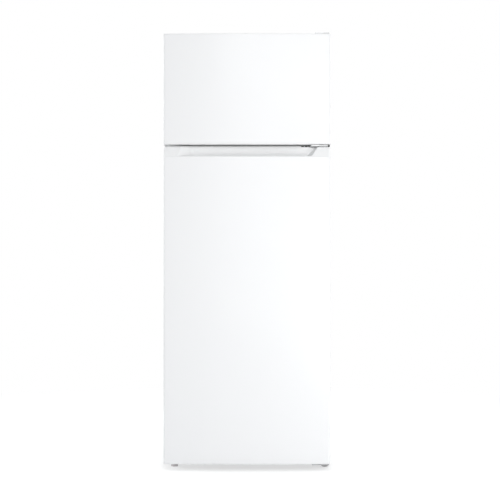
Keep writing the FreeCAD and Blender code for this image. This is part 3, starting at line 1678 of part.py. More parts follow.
def top_hinge_cover():
    """A low cover over the screws of the top hinge, hollow underneath."""
    body = new_body("top_hinge_cover")
    low = cabinet_top + size.hinge_plate
    high = cabinet_top + size.cover_rise
    left = plate_left + size.hinge_plate
    right = plate_right - size.hinge_margin
    start = front - size.hinge_margin
    end = plate_end - size.hinge_margin
    pad(body, "z", low, high, rectangle(left, right, start, end, size.moulding_radius))
    fillet(body, size.hinge_plate / 2, lambda edge: lies_at(edge, "z", high))
    thick = size.cover_wall
    hollow = rectangle(left + thick, right - thick, start + thick, end - thick)
    pocket(body, "z", low - over, high - thick, hollow)
    return keep(body)


def middle_hinge():
    """A plate on the middle rail with a flat arm, and a pin up and a pin down."""
    body = new_body("middle_hinge")
    arm_low = rail_middle - size.middle_arm / 2
    arm_high = rail_middle + size.middle_arm / 2
    half = size.middle_hinge_height / 2
    face = front - size.hinge_plate
    corner = size.fold_radius / 2
    upright = rectangle(middle_left, middle_right, rail_middle - half, rail_middle + half, corner)
    pad(body, "y", face, front, upright)
    arm = [
        (arm_left, plate_front + size.hinge_margin, size.moulding_radius),
        (arm_left + size.hinge_margin, plate_front, size.moulding_radius),
        (arm_right, plate_front, size.moulding_radius),
        (arm_right, front - size.seat_clearance, size.moulding_radius),
        (arm_left, front - size.seat_clearance),
    ]
    pad(body, "z", arm_low, arm_high, arm)
    pin_low = fridge_door_top - size.pin_length
    pin_high = freezer_door_bottom + size.pin_length
    pin_pad(body, pin_low, pin_high, size.pin_radius)
    pin_pad(body, arm_high, freezer_door_bottom - size.pin_play, size.pin_collar_radius)
    holes = [Circle(across, up, screw_hole) for across, up in middle_screws]
    pocket(body, "y", face - over, front + over, *holes)
    return keep(body)


def bottom_hinge():
    """A leaf under the fridge door, stepped up to the base panel beside the foot."""
    body = new_body("bottom_hinge")
    step = front + size.hinge_plate
    leaf = rectangle(leaf_left, arm_right, plate_front, step, size.moulding_radius)
    pad(body, "z", leaf_bottom, leaf_top, leaf)
    angle = [
        (front, leaf_bottom),
        (step, leaf_bottom),
        (step, base - size.hinge_plate),
        (leaf_end, base - size.hinge_plate),
        (leaf_end, base),
        (front, base),
    ]
    pad(body, "x", leaf_left, leaf_right, angle)
    pin_pad(body, leaf_top, fridge_door_bottom - size.pin_play, size.pin_collar_radius)
    pin_pad(body, leaf_top, fridge_door_bottom + size.pin_length, size.pin_radius)
    holes = [Circle(across, deep, screw_hole) for across, deep in bottom_screws]
    pocket(body, "z", base - 2 * size.hinge_plate, base + over, *holes)
    return keep(body)


def screw(label, axis, centre, seat, tip, way):
    """A hinge screw: way is +1 where the head lies on the far side of its seat along the axis."""
    body = new_body(label)
    top = seat + size.screw_head_height * way
    outline = [
        (0, tip),
        (size.screw_radius, tip),
        (size.screw_radius, seat),
        (size.screw_head_radius, seat),
        (size.screw_head_radius, top, size.screw_head_height / 2),
        (0, top),
    ]
    revolve(body, axis, centre, outline)
    return body


def hinge_screws():
    screws = []
    for number, centre in enumerate(top_screws):
        seat = cabinet_top + size.hinge_plate
        screws.append(screw(f"top_screw_{number}", "z", centre, seat, cabinet_top - skin, 1))
    for number, centre in enumerate(middle_screws):
        seat = front - size.hinge_plate
        screws.append(screw(f"middle_screw_{number}", "y", centre, seat, front + skin, -1))
    for number, centre in enumerate(bottom_screws):
        seat = base - size.hinge_plate
        screws.append(screw(f"bottom_screw_{number}", "z", centre, seat, base + skin, -1))
    return keep(group("hinge_screws", screws))


top_hinge()
top_hinge_cover()
middle_hinge()
bottom_hinge()
hinge_screws()


# Doors: a bowed steel shell, end caps, foam core, inner panel, gasket and bins.

def door_outline(inset=0, setback=0):
    """A door seen from above: crowned front, rounded front edges and a flat back."""
    inset = as_length(inset)
    side = half_width - inset
    face = door_front + inset + setback
    tail = door_back - inset
    corner = size.door_corner_radius - inset
    quarter = corner * quarter_bow_share
    return [
        (-side, face + corner, 0, quarter),
        (corner - side, face, 0, size.door_bow),
        (side - corner, face, 0, quarter),
        (side, face + corner),
        (side, tail),
        (-side, tail),
    ]


def door_panel(label, low, high):
    """The steel skin, folded in round the back."""
    body = new_body(label)
    pad(body, "z", low, high, door_outline())
    pocket(body, "z", low - over, high + over, door_outline(skin))
    edge = half_width - size.door_return
    opening = rectangle(-edge, edge, door_back - 2 * skin, door_back + over)
    pocket(body, "z", low - over, high + over, opening)
    return keep(body)


def pin_hole(body, low, high):
    pocket(body, "z", low, high, Circle(hinge_across, hinge_deep, pin_bore))


plug_inset = skin + size.seat_clearance
bore_depth = size.pin_length + size.pin_bore_extra


def plain_cap(label, end, way):
    """A thin end cap: way is +1 for a cap whose plug goes up, -1 for one whose plug goes down."""
    body = new_body(label)
    lip = end + size.cap_lip * way
    plug = lip + size.plug_height * way
    pad(body, "z", *in_order(end, lip), door_outline())
    pad(body, "z", *in_order(lip, plug), door_outline(plug_inset))
    pin_hole(body, *in_order(end - over * way, end + bore_depth * way))
    return keep(body)


crease = fridge_door_top - size.grip_cap_height
trough_floor = crease - size.trough_depth
trough_edge = crease + size.trough_rise


def grip_cap():
    """The sloping cap along the top of the fridge door, with the flared grip trough."""
    body = new_body("fridge_door_top_cap")
    slope_top = door_outline(0, size.grip_cap_slope)
    loft(body, "z", [(crease, door_outline()), (fridge_door_top, slope_top)])
    pad(body, "z", crease - size.grip_plug_height, crease, door_outline(plug_inset))
    depth = fridge_door_top - trough_floor

    def ends(height):
        rise = (height - trough_floor) / depth
        left = size.trough_left_inset - half_width - size.trough_left_flare * rise
        return left, half_width - size.trough_right_inset + size.trough_right_flare * rise

    def tail(height):
        rise = (height - trough_floor) / depth
        return door_front + size.trough_back - size.trough_back_slope * (1 - rise)

    def inner_section(height):
        left, right = ends(height)
        lip = door_front + size.trough_lip
        return [
            (left, lip, 0, size.door_bow),
            (right, lip),
            (right, tail(height), size.trough_radius),
            (left, tail(height), size.trough_radius),
        ]

    def open_section(height):
        left, right = ends(height)
        start = -back - over
        return [
            (left, start),
            (right, start),
            (right, tail(height), size.trough_radius),
            (left, tail(height), size.trough_radius),
        ]

    top = fridge_door_top + over
    behind_lip = [(height, inner_section(height)) for height in (trough_floor, trough_edge)]
    above_lip = [(height, open_section(height)) for height in (trough_edge, top)]
    loft(body, "z", behind_lip, cut=True)
    loft(body, "z", above_lip, cut=True)
    pin_hole(body, fridge_door_top - bore_depth, fridge_door_top + over)
    return keep(body)


def recess_cap():
    """The cap under the freezer door, hollowed from below for the fingers."""
    body = new_body("freezer_door_bottom_cap")
    low = freezer_door_bottom
    lip = low + size.cap_lip
    pad(body, "z", low, lip, door_outline())
    pad(body, "z", lip, lip + size.grip_plug_height, door_outline(plug_inset))
    draft = size.trough_back_slope

    def section(height):
        rise = (height - low) / size.recess_depth
        start = door_front + size.recess_lip
        end = door_front + size.recess_back - draft * rise
        left = size.recess_left_inset - half_width + draft * rise
        right = half_width - size.recess_right_inset - draft * rise
        return [
            (left, start, 0, size.door_bow),
            (right, start),
            (right, end, size.trough_radius),
            (left, end, size.trough_radius),
        ]

    sections = [(height, section(height)) for height in (low - over, low + size.recess_depth)]
    loft(body, "z", sections, cut=True)
    pin_hole(body, low - over, low + bore_depth)
    return keep(body)


def door_core(label, low, high):
    """Foam between the end caps."""
    body = new_body(label)
    pad(body, "z", low, high, door_outline(skin))
    return keep(body)


def door_liner(label, ends, skin_ends, opening, dikes, bins):
    """The moulded inner panel: flat edge, raised field, two upright ridges and bin lugs."""
    body = new_body(label)
    inset = size.inner_panel_inset
    edge = half_width - inset
    low, high = ends[0] + inset, ends[1] - inset
    plate_face = door_back + size.liner_plate
    pad(body, "y", door_back, plate_face, rectangle(-edge, edge, low, high, size.door_plateau_radius))
    fit = half_width - size.door_return - size.seat_clearance
    pad(body, "y", door_back - skin, door_back, rectangle(-fit, fit, *skin_ends))
    gap = size.door_plateau_gap
    field_ends = (opening[0] + gap, opening[1] - gap)
    field = rectangle(-plateau_half, plateau_half, *field_ends, size.door_plateau_radius)
    pad(body, "y", plate_face, plateau, field)
    fillet(body, size.moulding_radius, lambda item: lies_at(item, "y", plateau))
    outside, depth, dike_low, dike_high = dikes
    for side in (-1, 1):
        faces = in_order(outside * side, (outside - size.dike_width) * side)
        ridge = rectangle(*faces, dike_low, dike_high, size.moulding_radius)
        pad(body, "y", plateau, plateau + depth, ridge)
    tip = plateau + depth
    fillet(body, size.moulding_radius, lambda item: lies_at(item, "y", tip))
    inner = outside - size.dike_width
    for side in (-1, 1):
        faces = in_order(inner * side, (inner - size.bin_lug_width) * side)
        lugs = [rectangle(*faces, bottom - size.bin_lug_height, bottom) for bottom in bins]
        depth_of_lug = in_order(size.bin_lug_depth, depth)[0]
        pad(body, "y", plateau, plateau + depth_of_lug, *lugs)
    return keep(body)


def gasket(label, low, high):
    """A magnetic seal: a foot on the inner panel and a narrower bulb in front of it."""
    body = new_body(label)
    start = door_back + size.liner_plate
    end = front - size.seat_clearance
    foot = start + size.gasket_foot
    half = half_width - size.gasket_side_inset
    width = size.gasket_width
    radius = size.gasket_radius
    inset = size.gasket_bulb_inset
    pad(body, "y", start, foot, rectangle(-half, half, low, high, radius))
    pad(body, "y", foot, end, rectangle(inset - half, half - inset, low + inset, high - inset, radius))
    inner = half - width
    inside = rectangle(-inner, inner, low + width, high - width)
    pocket(body, "y", start - over, foot, inside)
    bulb = inner + inset
    inside = rectangle(-bulb, bulb, low + width - inset, high - width + inset)
    pocket(body, "y", foot, end + over, inside)
    return keep(body)


def door_bin(label, half, low, height, depth):
    """An open bin whose front leans out towards its rim."""
    body = new_body(label)
    start = bins_start
    lean = size.bin_radius

    def section(level, inset):
        rise = (level - low) / height
        end = start + depth - lean * (1 - rise) - inset
        radius = size.bin_radius - inset
        return [
            (inset - half, start + inset),
            (half - inset, start + inset),
            (half - inset, end, radius),
            (inset - half, end, radius),
        ]

    high = low + height
    thick = size.bin_wall
    loft(body, "z", [(low, section(low, 0)), (high, section(high, 0))])
    hollow = [(level, section(level, thick)) for level in (low + thick, high + over)]
    loft(body, "z", hollow, cut=True)
    return keep(body)


def fridge_door():
    panel_low = fridge_door_bottom + size.cap_lip
    door_panel("fridge_door_panel", panel_low, crease)
    plain_cap("fridge_door_bottom_cap", fridge_door_bottom, 1)
    grip_cap()
    door_core("fridge_door_core", panel_low + size.plug_height, crease - size.grip_plug_height)
    bottle_bin_bottom = fridge_floor + size.bottle_bin_lift
    lower_bin_bottom = bottle_bin_bottom + size.lower_bin_lift
    bottoms = [bottle_bin_bottom]
    bottoms += [lower_bin_bottom + size.fridge_bin_pitch * number for number in range(3)]
    dike_outside = plateau_half - size.fridge_dike_side
    dike_ends = (fridge_floor + size.fridge_dike_foot, fridge_ceiling - size.fridge_dike_head)
    fit = size.seat_clearance
    door_liner(
        "fridge_door_liner",
        (fridge_door_bottom, fridge_door_top),
        (panel_low + fit, crease - fit),
        (fridge_floor, fridge_ceiling),
        (dike_outside, size.fridge_dike_depth, *dike_ends),
        bottoms,
    )
    gasket_low = fridge_door_bottom + size.gasket_bottom_inset
    gasket("fridge_door_gasket", gasket_low, fridge_door_top - size.gasket_rail_inset)
    half = dike_outside - size.dike_width - size.bin_side_gap
    door_bin("bottle_bin", half, bottoms[0], size.bottle_bin_height, size.bottle_bin_depth)
    names = ("fridge_bin_lower", "fridge_bin_middle", "fridge_bin_upper")
    for label, bottom in zip(names, bottoms[1:]):
        door_bin(label, half, bottom, size.bin_height, size.bin_depth)


def freezer_door():
    panel_low = freezer_door_bottom + size.cap_lip
    panel_high = freezer_door_top - size.cap_lip
    door_panel("freezer_door_panel", panel_low, panel_high)
    recess_cap()
    plain_cap("freezer_door_top_cap", freezer_door_top, -1)
    door_core("freezer_door_core", panel_low + size.grip_plug_height, panel_high - size.plug_height)
    lower_bin_bottom = freezer_floor + size.freezer_bin_lift
    bottoms = [lower_bin_bottom, lower_bin_bottom + size.freezer_bin_pitch]
    dike_outside = plateau_half - size.freezer_dike_side
    inset = size.door_plateau_gap + size.freezer_dike_inset
    ridge_ends = (freezer_floor + inset, freezer_ceiling - inset)
    fit = size.seat_clearance
    door_liner(
        "freezer_door_liner",
        (freezer_door_bottom, freezer_door_top),
        (panel_low + fit, panel_high - fit),
        (freezer_floor, freezer_ceiling),
        (dike_outside, size.freezer_dike_depth, *ridge_ends),
        bottoms,
    )
    gasket_low = freezer_door_bottom + size.gasket_rail_inset
    gasket("freezer_door_gasket", gasket_low, freezer_door_top - size.gasket_top_inset)
    half = dike_outside - size.dike_width - size.bin_side_gap
    for label, bottom in zip(("freezer_bin_lower", "freezer_bin_upper"), bottoms):
        door_bin(label, half, bottom, size.bin_height, size.freezer_bin_depth)


fridge_door()
freezer_door()


def sound(item):
    shape = item.Shape
    return not shape.isNull() and shape.isValid() and shape.Volume > 0


doc.recompute()
broken = [item.Label for item in doc.Objects if {"Invalid", "Error"} & set(item.State)]
broken += [item.Label for item in nodes if not sound(item)]
if broken:
    raise ValueError("failed objects: " + ", ".join(broken))
os.makedirs("parts", exist_ok=True)
for item in nodes:
    item.Shape.exportStep(f"parts/{item.Label}.step")
print(len(nodes), "sub-parts")
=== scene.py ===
# %% [markdown]
# A two-door refrigerator with the freezer on top.
# The imported model gives every part its place and size. This lesson gives each part the soft
# edges, the small detail and the finish of the real one. First the model is loaded, and its
# box is kept.

# %% Load the fixed model
import json
import math

import bmesh
import bpy
from mathutils import Matrix, Vector

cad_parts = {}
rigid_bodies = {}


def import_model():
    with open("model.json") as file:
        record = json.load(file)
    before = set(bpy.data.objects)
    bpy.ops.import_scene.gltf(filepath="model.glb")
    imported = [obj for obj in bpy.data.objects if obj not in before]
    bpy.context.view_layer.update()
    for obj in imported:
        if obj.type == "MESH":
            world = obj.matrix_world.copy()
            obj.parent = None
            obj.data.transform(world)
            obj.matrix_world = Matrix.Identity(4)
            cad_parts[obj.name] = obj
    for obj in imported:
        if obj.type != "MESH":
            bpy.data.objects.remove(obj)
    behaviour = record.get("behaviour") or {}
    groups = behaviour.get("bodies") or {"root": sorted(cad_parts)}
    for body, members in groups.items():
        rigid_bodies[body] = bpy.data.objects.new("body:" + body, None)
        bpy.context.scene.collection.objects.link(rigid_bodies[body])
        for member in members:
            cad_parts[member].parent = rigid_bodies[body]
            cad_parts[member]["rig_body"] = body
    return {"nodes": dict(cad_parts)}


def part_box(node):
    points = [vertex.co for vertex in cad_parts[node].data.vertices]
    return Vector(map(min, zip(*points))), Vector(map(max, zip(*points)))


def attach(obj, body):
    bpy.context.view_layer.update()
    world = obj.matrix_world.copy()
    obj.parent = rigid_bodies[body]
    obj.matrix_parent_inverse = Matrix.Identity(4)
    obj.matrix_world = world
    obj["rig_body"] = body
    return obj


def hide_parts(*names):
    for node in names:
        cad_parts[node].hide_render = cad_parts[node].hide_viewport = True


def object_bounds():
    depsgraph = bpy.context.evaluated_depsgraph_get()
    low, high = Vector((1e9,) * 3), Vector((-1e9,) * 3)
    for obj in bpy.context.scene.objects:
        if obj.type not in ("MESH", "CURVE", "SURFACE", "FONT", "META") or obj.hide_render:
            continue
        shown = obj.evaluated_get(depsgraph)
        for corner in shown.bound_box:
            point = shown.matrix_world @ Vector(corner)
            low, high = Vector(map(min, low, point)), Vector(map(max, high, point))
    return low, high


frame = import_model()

cad_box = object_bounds()
print("CAD box", [tuple(round(value, 4) for value in corner) for corner in cad_box])

# %% [markdown]
# The photograph was taken level, square to the doors and from a few metres away, so that the
# sides don't show. A long lens does the same here: the camera stands 4 m in front of the doors,
# a little right of the middle and half way up.

# %% Camera
door_low, door_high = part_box("fridge_door_panel")
crown = 0.008
door_front = door_low.y + crown
camera_distance = 4.0
camera_side = 0.0098
camera_height = 0.7176
focal_length = 88.4
view_reach = 60

lens = bpy.data.cameras.new("camera")
lens.lens = focal_length
lens.clip_end = view_reach
camera = bpy.data.objects.new("camera", lens)
camera.location = (camera_side, door_front - camera_distance, camera_height)
camera.rotation_euler = (math.radians(90), 0, 0)
bpy.context.scene.collection.objects.link(camera)
bpy.context.scene.camera = camera
bpy.context.scene.view_settings.view_transform = "Standard"
print("camera", tuple(round(value, 3) for value in camera.location), "lens", lens.lens)

# %% [markdown]
# Shader maths reads best as ordinary sums. A small class wraps a node's output, and its
# operators add Math nodes. Every other node comes from one method, which sets the node's own
# settings first and then fills its sockets with values or links. The same class serves the
# Geometry Nodes trees further down.

# %% Nodes written as Python
class Socket:
    """One output of a node."""

    def __init__(self, recipe, output):
        self.recipe = recipe
        self.output = output

    def __add__(self, other):
        return self.recipe.maths("ADD", self, other)

    def __radd__(self, other):
        return self.recipe.maths("ADD", other, self)

    def __sub__(self, other):
        return self.recipe.maths("SUBTRACT", self, other)

    def __rsub__(self, other):
        return self.recipe.maths("SUBTRACT", other, self)

    def __mul__(self, other):
        return self.recipe.maths("MULTIPLY", self, other)

    def __rmul__(self, other):
        return self.recipe.maths("MULTIPLY", other, self)


class Recipe:
    """A node tree that is written line by line."""

    def __init__(self, tree):
        self.tree = tree
        tree.nodes.clear()

    def node(self, kind, settings=None, sockets=None, output=0):
        made = self.tree.nodes.new(kind)
        for name, value in (settings or {}).items():
            setattr(made, name, value)
        for name, value in (sockets or {}).items():
            if isinstance(value, Socket):
                self.tree.links.new(value.output, made.inputs[name])
            else:
                made.inputs[name].default_value = value
        return Socket(self, made.outputs[output]) if made.outputs else None

    def maths(self, operation, *values):
        return self.node("ShaderNodeMath", {"operation": operation}, dict(enumerate(values)))


print("node helpers ready")

# %% [markdown]
# A finish is a Principled surface whose colour, roughness and relief come from noise on Object
# coordinates. Those coordinates are metres, so a noise scale of 400 makes grains of about
# 2.5 mm. A real surface is never one flat number: paint has a faint orange peel, mouldings have
# a fine spark-eroded grain, and cast or rolled metal is streaked.

# %% The finish class
class Finish(Recipe):
    def __init__(self, name):
        self.material = bpy.data.materials.new(name)
        self.material.use_nodes = True
        super().__init__(self.material.node_tree)
        self.place = self.node("ShaderNodeTexCoord", output="Object")

    def stretched(self, x, y, z):
        """Object coordinates scaled along each axis."""
        return self.node("ShaderNodeMapping", None, {"Vector": self.place, "Scale": (x, y, z)})

    def noise(self, scale, detail=2, place=None):
        sockets = {"Vector": place or self.place, "Scale": scale, "Detail": detail}
        return self.node("ShaderNodeTexNoise", None, sockets)

    def blend(self, share, first, second):
        """A colour between two colours."""
        values = [value if isinstance(value, Socket) else (*value, 1) for value in (first, second)]
        sockets = {0: share, 6: values[0], 7: values[1]}
        return self.node("ShaderNodeMix", {"data_type": "RGBA"}, sockets, 2)

    def surface(self, colour, roughness, relief=None, depth=0.0, **constants):
        """The Principled surface itself; relief is a height from 0 to 1, depth in metres."""
        sockets = {
            "Base Color": colour if isinstance(colour, Socket) else (*colour, 1),
            "Roughness": roughness,
        }
        if relief is not None:
            bump = self.node("ShaderNodeBump", None, {"Height": relief, "Distance": depth})
            sockets["Normal"] = bump
        for name, value in constants.items():
            sockets[name.replace("_", " ").title()] = value
        shader = self.node("ShaderNodeBsdfPrincipled", None, sockets)
        self.node("ShaderNodeOutputMaterial", None, {"Surface": shader})
        return self.material


finishes = {}
print("finish class ready")

# %% [markdown]
# The doors and the cabinet are steel sheet with baked white enamel: nearly neutral, glossy, with
# an orange peel so faint that it only softens reflections, and a very slow change of tone.

# %% White enamel
enamel_light = (0.93, 0.932, 0.938)
enamel_deep = (0.915, 0.918, 0.926)
peel_scale = 420
tone_scale = 5
peel_depth = 0.00003
enamel_roughness, enamel_swing = 0.34, 0.06
coat_share, coat_haze = 0.2, 0.15

enamel = Finish("white_enamel")
peel = enamel.noise(peel_scale, 1)
tone = enamel.noise(tone_scale, 3)
finishes["enamel"] = enamel.surface(
    enamel.blend(tone, enamel_light, enamel_deep),
    enamel_roughness + enamel_swing * tone,
    peel,
    peel_depth,
    coat_weight=coat_share,
    coat_roughness=coat_haze,
)
print("enamel peel:", round(1000 / peel_scale, 1), "mm")

# %% [markdown]
# Mouldings are duller than enamel and carry a fine grain from the mould. One function makes the
# whole family, from white caps and liners to grey hinge covers and black rubber, and each has
# its own two tones, gloss and size of grain.

# %% Moulded plastics and rubber
fine_grain = 900
soft_grain = 500
grain_depth = 0.00003
grain_swing = 0.08
cloud_scale = 9


def moulding(name, light, deep, roughness, grain=fine_grain):
    finish = Finish(name)
    speckle = finish.noise(grain, 2)
    cloud = finish.noise(cloud_scale, 3)
    colour = finish.blend(cloud, light, deep)
    return finish.surface(colour, roughness + grain_swing * speckle, speckle, grain_depth)


def grey(level, tint=0.0):
    """A grey, a little bluer where tint is above zero."""
    return (level, level * (1 + tint / 2), level * (1 + tint))


finishes["white_plastic"] = moulding("white_plastic", grey(0.94, 0.006), grey(0.925, 0.008), 0.38)
finishes["liner"] = moulding("liner_plastic", grey(0.92, 0.01), grey(0.9, 0.014), 0.46, soft_grain)
finishes["trim"] = moulding("shelf_trim", grey(0.9, 0.01), grey(0.885, 0.012), 0.3, soft_grain)
# Painted shade: the middle rail is a mid grey so that the narrow gap between the doors looks dark where the
# rail shows through it.
finishes["rail_grey"] = moulding("rail_grey", grey(0.5, 0.02), grey(0.46, 0.02), 0.45)
finishes["hinge_grey"] = moulding("hinge_cover_grey", grey(0.22, 0.03), grey(0.19, 0.03), 0.42)
finishes["black_plastic"] = moulding("black_plastic", grey(0.03, 0.05), grey(0.018, 0.05), 0.45)
finishes["rubber"] = moulding("black_rubber", grey(0.022), grey(0.035, -0.04), 0.75, soft_grain)
finishes["seal"] = moulding("gasket_vinyl", grey(0.74, 0.01), grey(0.69, 0.015), 0.5)
# Painted light: the left front foot is light grey, painted lighter still to make up for the shadow that falls
# on it under the cabinet. The right foot is dark.
finishes["foot_grey"] = moulding("foot_grey", (0.84, 0.8, 0.805), (0.8, 0.76, 0.765), 0.5)
finishes["foot_dark"] = moulding("foot_dark", (0.05, 0.036, 0.036), (0.032, 0.024, 0.024), 0.5)
finishes["dial_grey"] = moulding("dial_print", grey(0.16, 0.1), grey(0.13, 0.1), 0.5)
print("mouldings:", len(finishes) - 1)

# %% [markdown]
# Foam and bare metals need one idea each. Foam is pale yellow with cells. Galvanised sheet shows
# spangle, which is a Voronoi pattern of crystal patches. Rolled metal is streaked, so its noise
# is stretched along the streaks, and copper darkens in clouds where it was heated.

# %% Foam and galvanised sheet
foam_light, foam_deep = (0.78, 0.69, 0.44), (0.7, 0.6, 0.36)
foam_cells, foam_clouds = 600, 20
foam_roughness = 0.9
cell_depth = 0.0004
spangle_scale, ripple_scale = 120, 60
spangle_light, spangle_deep = grey(0.54, 0.05), grey(0.45, 0.06)
spangle_roughness, spangle_swing = 0.36, 0.12
ripple_depth = 0.00006
zinc_share = 0.8

foam = Finish("insulating_foam")
cells = foam.node("ShaderNodeTexVoronoi", None, {"Vector": foam.place, "Scale": foam_cells})
foam_colour = foam.blend(foam.noise(foam_clouds), foam_light, foam_deep)
finishes["foam"] = foam.surface(foam_colour, foam_roughness, cells, cell_depth)

zinc_sheet = Finish("galvanised_sheet")
patches = zinc_sheet.node(
    "ShaderNodeTexVoronoi", None, {"Vector": zinc_sheet.place, "Scale": spangle_scale}, "Color"
)
spangle = zinc_sheet.node("ShaderNodeSeparateColor", None, {"Color": patches})
finishes["galvanised"] = zinc_sheet.surface(
    zinc_sheet.blend(spangle, spangle_light, spangle_deep),
    spangle_roughness + spangle_swing * spangle,
    zinc_sheet.noise(ripple_scale),
    ripple_depth,
    metallic=zinc_share,
)
print("spangle patches:", round(1000 / spangle_scale, 1), "mm")


# %% Metals and painted steel
streak_scale = 40
streak_swing = 0.15


def metal(name, light, deep, roughness, metallic=1.0, stretch=(1, 1, 1)):
    """A metal with clouds or, where two axes are scaled up, with streaks along the third."""
    finish = Finish(name)
    streak = finish.noise(streak_scale, 4, finish.stretched(*stretch))
    colour = finish.blend(streak, light, deep)
    gloss = roughness + streak_swing * streak
    return finish.surface(colour, gloss, streak, grain_depth, metallic=metallic)


finishes["zinc"] = metal("zinc_plating", grey(0.66, 0.03), grey(0.54, 0.03), 0.28)
finishes["hinge_steel"] = metal("hinge_steel", grey(0.6, 0.02), grey(0.53, 0.02), 0.34, 0.4)
finishes["dark_steel"] = metal("dark_hinge_steel", grey(0.03, 0.06), grey(0.02, 0.06), 0.4, 0.2)
finishes["aluminium"] = metal("rolled_aluminium", grey(0.6, 0.02), grey(0.52, 0.02), 0.42, 0.6, (1, 9, 9))
finishes["copper"] = metal("drawn_copper", (0.78, 0.42, 0.27), (0.52, 0.25, 0.15), 0.26)
finishes["black_enamel"] = metal("black_enamel", grey(0.022, 0.04), grey(0.036, 0.02), 0.3, 0.0)
finishes["white_wire"] = metal("coated_wire", grey(0.88, 0.01), grey(0.84, 0.01), 0.3, 0.0)
print("finishes so far:", len(finishes))

# %% [markdown]
# Shelf glass and the clear styrene of the bins let most light through. A tinted Principled
# surface with a constant alpha does that without refraction, stays clean in every view, and
# survives the export. The glass leans to green and the styrene to a cold white.

# %% Glass and clear plastic
haze_scale = 30
haze_shade = 0.95
haze_swing = 0.05


def clear(name, colour, alpha, roughness):
    finish = Finish(name)
    haze = finish.noise(haze_scale, 3)
    shade = tuple(value * haze_shade for value in colour)
    return finish.surface(finish.blend(haze, colour, shade), roughness + haze_swing * haze, alpha=alpha)


finishes["shelf_glass"] = clear("shelf_glass", (0.74, 0.9, 0.84), 0.13, 0.03)
finishes["glass_rim"] = clear("glass_rim", (0.36, 0.6, 0.5), 0.7, 0.1)
finishes["styrene"] = clear("clear_styrene", (0.88, 0.925, 0.945), 0.24, 0.09)
finishes["lamp_cover"] = clear("lamp_cover", (0.94, 0.94, 0.92), 0.5, 0.2)
finishes["lamp_glass"] = clear("lamp_glass", (0.93, 0.93, 0.9), 0.75, 0.15)
print("finishes:", len(finishes))

# %% [markdown]
# Every piece below is placed by one function. It gives the mesh its finish and smooth shading,
# makes it ride on the body that carries its node, and hides that node when it replaces it.

# %% Place a piece
smooth_angle = math.radians(33)


def place_piece(name, mesh, node, finish, replaced=True, smooth=True):
    """Links a finished mesh as a piece of the body that carries the node."""
    piece = bpy.data.objects.new(name, mesh)
    bpy.context.scene.collection.objects.link(piece)
    if finish:
        mesh.materials.clear()
        mesh.materials.append(finishes[finish])
    if smooth:
        mesh.shade_smooth()
        mesh.set_sharp_from_angle(angle=smooth_angle)
    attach(piece, frame["nodes"][node]["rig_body"])
    if replaced:
        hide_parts(node)
    return piece


def settle(piece):
    """Turns a piece with live modifiers into the plain mesh that they make."""
    bpy.context.view_layer.update()
    made = bpy.data.meshes.new_from_object(piece.evaluated_get(bpy.context.evaluated_depsgraph_get()))
    piece.modifiers.clear()
    piece.data = made
    return piece


def soften(piece, edge, steps=2, angle=35):
    """Rounds the sharp edges of a piece and shades it smoothly."""
    piece.data.shade_smooth()
    bevel = piece.modifiers.new("edges", "BEVEL")
    bevel.width = edge
    bevel.segments = steps
    bevel.limit_method = "ANGLE"
    bevel.angle_limit = math.radians(angle)
    bevel.harden_normals = True
    bevel.miter_outer = "MITER_ARC"
    return settle(piece)


# %% [markdown]
# Shapes are drawn as paths with a radius on each corner, as a maker's drawing gives them. A path
# becomes a solid in three ways: a stack of rings with equal counts of points, a turned shape, or
# a wall of sheet. Stacks make lofts, tubs and frames, and need no modifier to look moulded.

# %% Paths with rounded corners
def rounded(points, steps=5, closed=True):
    """A path in which a third number on a point is the radius of its corner."""
    path = []
    for k, point in enumerate(points):
        corner = Vector(point[:2])
        radius = point[2] if len(point) > 2 else 0
        if radius == 0 or (not closed and k in (0, len(points) - 1)):
            path.append(tuple(corner))
            continue
        into = (corner - Vector(points[k - 1][:2])).normalized()
        out = (Vector(points[(k + 1) % len(points)][:2]) - corner).normalized()
        turn = into.angle(out)
        centre = corner + (out - into).normalized() * radius / math.cos(turn / 2)
        spoke = corner - into * radius * math.tan(turn / 2) - centre
        way = 1 if into.cross(out) > 0 else -1
        for step in range(steps + 1):
            path.append(tuple(centre + Matrix.Rotation(way * turn * step / steps, 2) @ spoke))
    return path


def oblong(left, right, low, high, radius, steps=5):
    corners = [(left, low), (right, low), (right, high), (left, high)]
    return rounded([(*corner, radius) for corner in corners], steps)


def level(ring, height):
    return [(x, y, height) for x, y in ring]


def facing(ring, depth):
    """A ring drawn in the front view, set at a depth."""
    return [(x, depth, z) for x, z in ring]


def across(ring, x):
    """A ring drawn in the side view, set across."""
    return [(x, y, z) for y, z in ring]


print("rounded square:", len(oblong(0, 1, 0, 1, 0.1)), "points")


# %% Solids from rings
weld_distance = 0.000001


def mesh_of(work, name, recalculate=True):
    """The finished mesh of the work, with doubled points welded."""
    bmesh.ops.remove_doubles(work, verts=work.verts, dist=weld_distance)
    if recalculate:
        bmesh.ops.recalc_face_normals(work, faces=work.faces)
    mesh = bpy.data.meshes.new(name)
    work.to_mesh(mesh)
    work.free()
    return mesh


def stack(name, rings, ends="closed"):
    """A skin through rings: its ends are closed, open, or joined to each other in a loop."""
    work = bmesh.new()
    rows = [[work.verts.new(point) for point in ring] for ring in rings]
    pairs = list(zip(rows, rows[1:]))
    if ends == "loop":
        pairs.append((rows[-1], rows[0]))
    for lower, upper in pairs:
        for k in range(len(lower)):
            work.faces.new((lower[k - 1], lower[k], upper[k], upper[k - 1]))
    if ends == "closed":
        work.faces.new(rows[0][::-1])
        work.faces.new(rows[-1])
    return mesh_of(work, name)


def turned(name, centre, profile, steps, axis="z", ends="open"):
    """A path of (radius, place) turned about a line along one axis."""
    first, second = centre
    rings = []
    for radius, place in profile:
        ring = []
        for k in range(steps):
            turn = 2 * math.pi * k / steps
            u, v = first + radius * math.cos(turn), second + radius * math.sin(turn)
            ring.append({"x": (place, u, v), "y": (u, place, v), "z": (u, v, place)}[axis])
        rings.append(ring)
    return stack(name, rings, ends)


